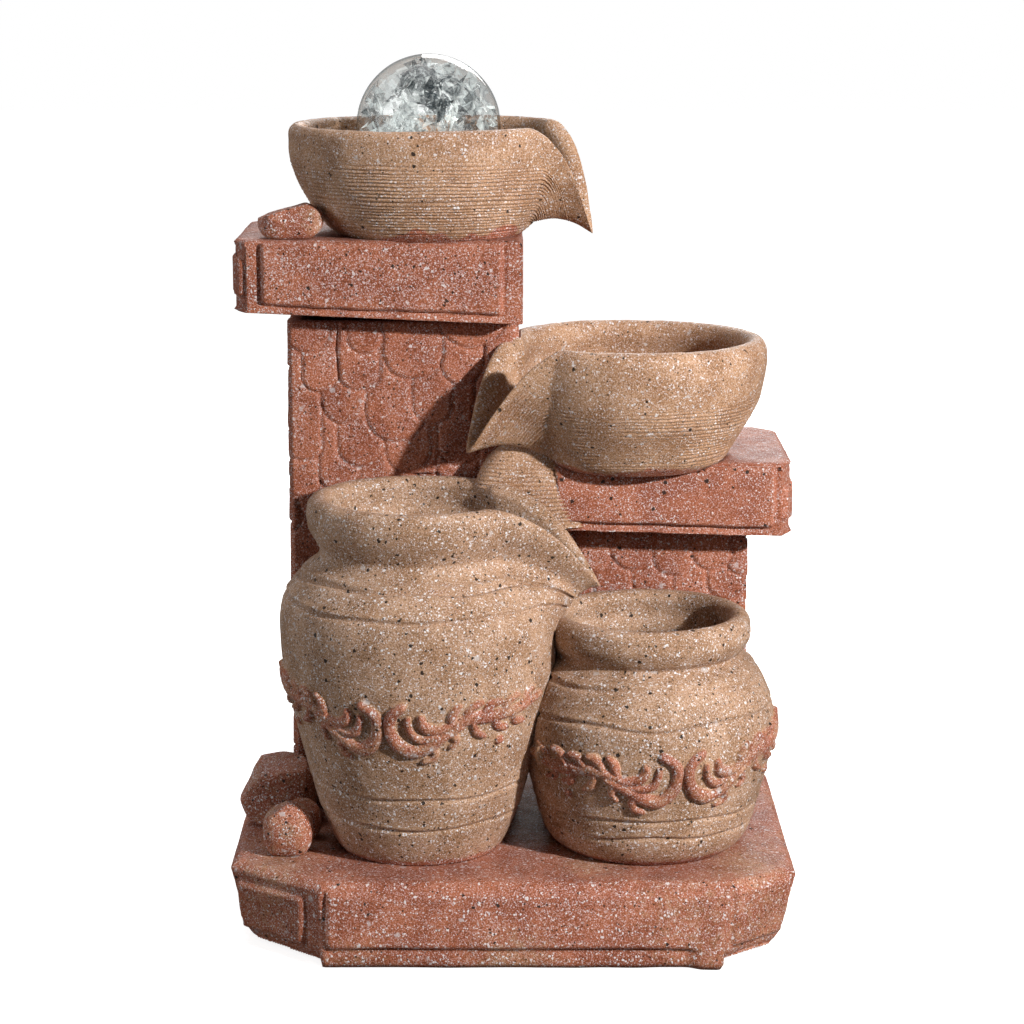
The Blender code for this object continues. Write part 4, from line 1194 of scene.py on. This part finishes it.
def support():
    """A dome of combed clay under the lower bowl's beak, run into the ledge, the jar and the column."""
    low, high = box_mm("spout_support")
    rows, columns = 110, 200
    rise = np.linspace(0, 1, rows)[:, None]
    turn = np.linspace(0, 2 * math.pi, columns, endpoint=False)[None, :]
    bulge = np.maximum((1 - rise**DOME_POWER) ** 0.5 * (1 + 0.12 * (1 - rise) ** 3), 0.01)
    square = (np.abs(np.cos(turn)) ** DOME_POWER + np.abs(np.sin(turn)) ** DOME_POWER) ** (-1 / DOME_POWER)
    half = (high - low) / 2
    middle = (high + low) / 2
    x = middle[0] + 4.5 + (half[0] + 6) * bulge * square * np.cos(turn)
    y = middle[1] + 2.5 + (half[1] - 1) * bulge * square * np.sin(turn)
    z = low[2] - 2 + (high[2] - low[2] + 2) * rise + 0 * turn
    points = clear_of_jar_rim(np.stack((x, y, z), -1))
    normals = ring_normals(points)
    comb = np.cos(2 * math.pi * (rise * 21 + 0.35 * noise(points, 9, 501)))
    patchy = 0.4 + 0.6 * smooth(noise(points, 7, 502) + 0.6)
    amount = 0.42 * comb * patchy + 1.2 * grain(points, 503)
    points = points + normals * amount[..., None]
    flat, faces = capped(points.reshape(-1, 3), [grid_faces(rows, columns)], rows, columns)
    piece = mesh_object("spout_support_casting", flat, faces)
    set_paint(piece, 0.12 + 0.3 * noise(flat, 12, 505))
    finish_piece(piece, "fountain", "sand_resin", SAND, "spout_support")


# ---------------------------------------------------------------- crackle-glass ball

CRACKS = 120  # flakes in the ball
GLASS_EDGE = 1.4  # how far the cracks stay inside the ball's surface


def glass_material():
    """Clear glass that lets light straight through to the cracks, and greys towards its edge: a painted shade
    at its rim, standing in for the view that the glass bends there.
    """
    nodes = Nodes(bpy.data.materials.new("ball_glass"))
    edge = nodes.feed(nodes.node("ShaderNodeLayerWeight"), {"Blend": 0.32})["Facing"]
    # Painted shade: the light let through turns grey towards the rim.
    tint = nodes.mix(nodes.ramp(edge, 0.45, 1.0), (0.97, 0.985, 0.98, 1), (0.55, 0.60, 0.61, 1))
    ripple = nodes.bump(nodes.noise(7)["Fac"], 0.15)
    fresnel = nodes.feed(nodes.node("ShaderNodeFresnel"), {"IOR": 1.5})[0]
    through = nodes.shader("BsdfTransparent", {"Color": tint})
    shine = nodes.shader("BsdfGlossy", {"Roughness": 0.03, "Normal": ripple})
    amount = nodes.math("MULTIPLY", fresnel, 0.6)
    return nodes.finish(nodes.shader("MixShader", {0: amount, 1: through, 2: shine}))


def crack_material():
    """Crack faces inside the ball: silvery facets from white to dark bluish grey, some of them nearly clear.
    Their tones are painted reflections of the bright and the dark sides of the room.
    """
    nodes = Nodes(bpy.data.materials.new("ball_cracks"))
    streak = nodes.ramp(nodes.noise(0.9)["Fac"], 0.35, 0.65, -0.12, 0.12)
    tone = nodes.math("ADD", nodes.attribute("shade"), streak, clamp=True)
    silver = nodes.mix(tone, (0.012, 0.02, 0.026, 1), (0.86, 0.91, 0.91, 1))
    # Browner facets: painted refraction of the stone under the ball, as it shows through the glass.
    brown = nodes.mix(tone, (0.08, 0.05, 0.03, 1), (0.66, 0.56, 0.44, 1))
    colour = nodes.mix(nodes.attribute("warm"), silver, brown)
    return nodes.principled({
        "Base Color": colour,
        # The facets glow faintly in their own colour: painted light, standing in for the light that the glass
        # gathers from the bright room.
        "Emission Color": colour,
        "Emission Strength": 0.36,
        "Roughness": nodes.ramp(tone, 0.0, 1.0, 0.10, 0.28),
        "Alpha": nodes.attribute("solid"),
    })


def crack_flake(centre, reach, rng):
    """One crumpled crack: rings of facets about a centre, bent and jagged."""
    rings, spokes = 4, 11
    normal = unit_vector(rng.normal(size=3))
    side = unit_vector(np.cross(normal, rng.normal(size=3)))
    other = np.cross(normal, side)
    points = [centre]
    bend = rng.uniform(-0.35, 0.35, 2)
    for ring in range(1, rings + 1):
        for spoke in range(spokes):
            turn = 2 * math.pi * (spoke + 0.5 * (ring % 2)) / spokes + rng.uniform(-0.2, 0.2)
            distance = reach * ring / rings * rng.uniform(0.75, 1.2)
            u, v = distance * math.cos(turn), distance * math.sin(turn)
            off = (bend[0] * u * u + bend[1] * v * v) / reach + rng.normal() * 0.09 * reach
            points.append(centre + u * side + v * other + off * normal)
    faces = [(0, 1 + k, 1 + (k + 1) % spokes) for k in range(spokes)]
    for ring in range(rings - 1):
        inner, outer = 1 + ring * spokes, 1 + (ring + 1) * spokes
        for k in range(spokes):
            following = (k + 1) % spokes
            faces.append((inner + k, outer + k, outer + following))
            faces.append((inner + k, outer + following, inner + following))
    return np.array(points), np.array(faces)


def ball_shell(centre, radius):
    unit, faces = sphere(6)
    dimples = 0.06 * noise(unit * 30, 9, 601)
    shell = mesh_object("ball_glass_shell", centre + unit * (radius - 0.1 + dimples)[:, None], [faces])
    finish_piece(shell, "ball", "crackle_glass", glass_material(), "crystal_ball")


def ball_cracks(centre, radius):
    """Flakes strewn through the ball, darker in places and browner low down: the dark is painted reflection
    of the dark side of the room, and the browner tint is painted refraction of the stone under the ball.
    """
    rng = np.random.default_rng(20)
    all_points, all_faces = [], []
    looks = {"shade": [], "warm": [], "solid": []}
    for number in range(CRACKS):
        direction = unit_vector(rng.normal(size=3))
        middle = direction * (radius - 3) * rng.uniform(0.05, 1) ** 0.45
        points, faces = crack_flake(middle, rng.uniform(3.5, 11), rng)
        distance = np.linalg.norm(points, axis=1)
        points = points * np.minimum(1, (radius - GLASS_EDGE) / np.maximum(distance, 1e-6))[:, None]
        # Flakes in some clusters are painted near black and the rest pale: painted reflections of the dark
        # and the bright sides of the room.
        dark_reflecting = noise(middle[None, :] + 100, 13, 605)[0] > 0.1
        base = 0.02 if dark_reflecting else 0.74
        # Flakes low in the ball are painted browner: painted refraction of the stone under the ball.
        refracted_brown_share = smooth((-middle[2] - 2) / 16) * rng.uniform(0.2, 1)
        solid = rng.uniform(0.35, 1.15)
        clear = rng.uniform(size=len(faces)) < 0.42
        all_points.append(points + centre)
        all_faces.append(faces + number * len(points))
        looks["shade"].append(np.clip(base + rng.normal(size=len(faces)) * 0.34, 0, 1))
        looks["warm"].append(np.full(len(faces), float(refracted_brown_share)))
        looks["solid"].append(np.where(clear, 0.04, solid * rng.uniform(0.5, 1, len(faces))))
    cracks = mesh_object("ball_cracks", np.vstack(all_points), [np.vstack(all_faces)])
    cracks.data.shade_flat()
    for label, values in looks.items():
        layer = cracks.data.attributes.new(label, "FLOAT", "FACE")
        layer.data.foreach_set("value", np.concatenate(values).astype(np.float32))
    finish_piece(cracks, "ball", "crackle_glass", crack_material())


def ball():
    low, high = box_mm("crystal_ball")
    centre, radius = (low + high) / 2, (high[0] - low[0]) / 2
    ball_shell(centre, radius)
    ball_cracks(centre, radius)


# ---------------------------------------------------------------- carried-over fittings

# Finish of each CAD slot that keeps its shape: name, light colour, dark colour, roughness, size of the grain,
# how metallic it is, and depth of the grain.
PLASTICS = {
    "black_plastic": (
        "moulded_black_plastic", (0.03, 0.03, 0.034), (0.022, 0.022, 0.025), 0.42, 0.6, 0, 0.03,
    ),
    "white_plastic": (
        "moulded_white_plastic", (0.80, 0.80, 0.77), (0.74, 0.74, 0.70), 0.4, 0.6, 0, 0.03,
    ),
    "rubber": ("grey_rubber", (0.05, 0.05, 0.052), (0.035, 0.035, 0.036), 0.8, 0.4, 0, 0.05),
    "circuit_board": ("circuit_board", (0.10, 0.26, 0.14), (0.07, 0.20, 0.10), 0.35, 1.2, 0, 0.03),
    "led": ("led_lens", (0.93, 0.88, 0.62), (0.88, 0.80, 0.50), 0.18, 1.0, 0, 0.03),
    "ferrite": ("ferrite", (0.075, 0.075, 0.08), (0.05, 0.05, 0.055), 0.45, 0.5, 0.35, 0.03),
    "ceramic_shaft": ("ceramic_shaft", (0.86, 0.83, 0.76), (0.80, 0.77, 0.70), 0.22, 0.3, 0, 0.03),
    "steel": ("brushed_steel", (0.62, 0.62, 0.64), (0.52, 0.52, 0.54), 0.28, 0.25, 1, 0.03),
}


def fittings():
    """Procedural materials for the CAD nodes that keep their shapes."""
    finishes = {slot: plastic_material(*settings) for slot, settings in PLASTICS.items()}
    clear = clear_material("clear_plastic", (0.93, 0.95, 0.95), 0.08, 0.9)
    vinyl = clear_material("vinyl_hose", (0.82, 0.87, 0.88), 0.2, 0.65)
    finishes.update(clear_plastic=clear, terracotta_resin=CLAY, sand_resin=SAND)
    special = {"riser_hose": vinyl, "ball_seat": clear, "hose_clamp": finishes["steel"]}
    for part in frame["record"]["subparts"]:
        finish = special.get(part["node"]) or finishes.get(part["material_slot"])
        if finish:
            for holder in frame["nodes"][part["node"]].material_slots:
                holder.material = finish


# ---------------------------------------------------------------- floor, lights and camera

LIGHT_TARGET = (0, 0, 0.17)  # metres, as are the places and sizes below
# The key lamp stands this far round to the right, this far up and this far away from its centre.
KEY_TURN, KEY_RISE, KEY_DISTANCE, KEY_CENTRE = math.radians(45), math.radians(24.5), 1.15, (0, 0, 0.12)
# Soft lights: name, place, size and watts.
SOFTBOXES = (
    ("top_softbox", (-0.1, 0.25, 1.5), 0.9, 8),
    ("left_softbox", (-1.4, -0.3, 0.5), 0.8, 7),
    ("front_softbox", (0.55, -1.35, 0.62), 0.2, 1.3),
    ("back_softbox", (0.2, 1.4, 1.0), 0.7, 12),
)
# Place in metres, degrees below level, and focal length.
CAMERA_PLACE, CAMERA_DOWN, CAMERA_LENS = (0, -1.2159, 0.4312), 11.7, 97.03


def stage_material():
    """A pale floor to the camera, whiter far away, and a dark one to the object, so shadows stay deep."""
    nodes = Nodes(bpy.data.materials.new("studio_floor"))
    away = nodes.feed(nodes.node("ShaderNodeVectorMath", operation="LENGTH"), {0: nodes.place})["Value"]
    pale = nodes.shader("BsdfDiffuse", {"Color": (0.9, 0.9, 0.9, 1)})
    brightness = nodes.ramp(away, 0.15, 0.6, 0.8, 1.0)
    glow = nodes.shader("Emission", {"Color": (1, 1, 1, 1), "Strength": brightness})
    dim = nodes.shader("BsdfDiffuse", {"Color": (0.10, 0.09, 0.085, 1)})
    path = nodes.node("ShaderNodeLightPath").outputs
    scattered = nodes.math("MAXIMUM", path["Is Diffuse Ray"], path["Is Glossy Ray"])
    lit = nodes.shader("AddShader", {0: pale, 1: glow})
    return nodes.finish(nodes.shader("MixShader", {0: scattered, 1: lit, 2: dim}))


def floor():
    half = 6.0 / MM
    corners = np.array(((-half, -half, 0), (half, -half, 0), (half, half, 0), (-half, half, 0)), float)
    ground = mesh_object("studio_floor", corners, [np.array(((0, 1, 2, 3),))])
    ground.data.materials.append(stage_material())


def world():
    """White behind the object, dimmer in reflections, and a low even fill on it."""
    nodes = Nodes(bpy.data.worlds.new("studio"), "ShaderNodeOutputWorld")
    path = nodes.node("ShaderNodeLightPath").outputs
    brightness = nodes.math("MULTIPLY_ADD", path["Is Glossy Ray"], -0.75, 1.0)
    white = nodes.shader("Background", {"Color": (1, 1, 1, 1), "Strength": brightness})
    fill = nodes.shader("Background", {"Color": (1.0, 0.96, 0.93, 1), "Strength": 0.04})
    mixed = nodes.shader("MixShader", {0: path["Is Diffuse Ray"], 1: white, 2: fill})
    bpy.context.scene.world = nodes.finish(mixed)


def area_light(name, place, size, power, colour=(1, 1, 1)):
    """A square lamp that shines at the middle of the object."""
    light = bpy.data.lights.new(name, "AREA")
    light.size = size
    light.energy = power
    light.color = colour
    lamp = bpy.data.objects.new(name, light)
    lamp.location = place
    lamp.rotation_euler = (Vector(LIGHT_TARGET) - Vector(place)).to_track_quat("-Z", "Y").to_euler()
    bpy.context.scene.collection.objects.link(lamp)


def lights():
    level = math.cos(KEY_RISE)
    away = Vector((math.sin(KEY_TURN) * level, -math.cos(KEY_TURN) * level, math.sin(KEY_RISE)))
    area_light("key_lamp", away * KEY_DISTANCE + Vector(KEY_CENTRE), 0.05, 18.3, (1.0, 0.97, 0.93))
    for softbox in SOFTBOXES:
        area_light(*softbox)


def camera():
    lens = bpy.data.cameras.new("camera")
    lens.lens = CAMERA_LENS
    lens.sensor_width = 36
    lens.clip_start = 0.01
    view = bpy.data.objects.new("camera", lens)
    view.location = CAMERA_PLACE
    view.rotation_euler = (math.radians(90 - CAMERA_DOWN), 0, 0)
    bpy.context.scene.collection.objects.link(view)
    bpy.context.scene.camera = view


def build():
    camera()
    world()
    lights()
    floor()
    vessels()
    scrolls()
    ledges()
    columns()
    cover()
    plinth()
    stones()
    support()
    ball()
    fittings()
    bpy.context.scene.view_settings.view_transform = "Standard"


build()
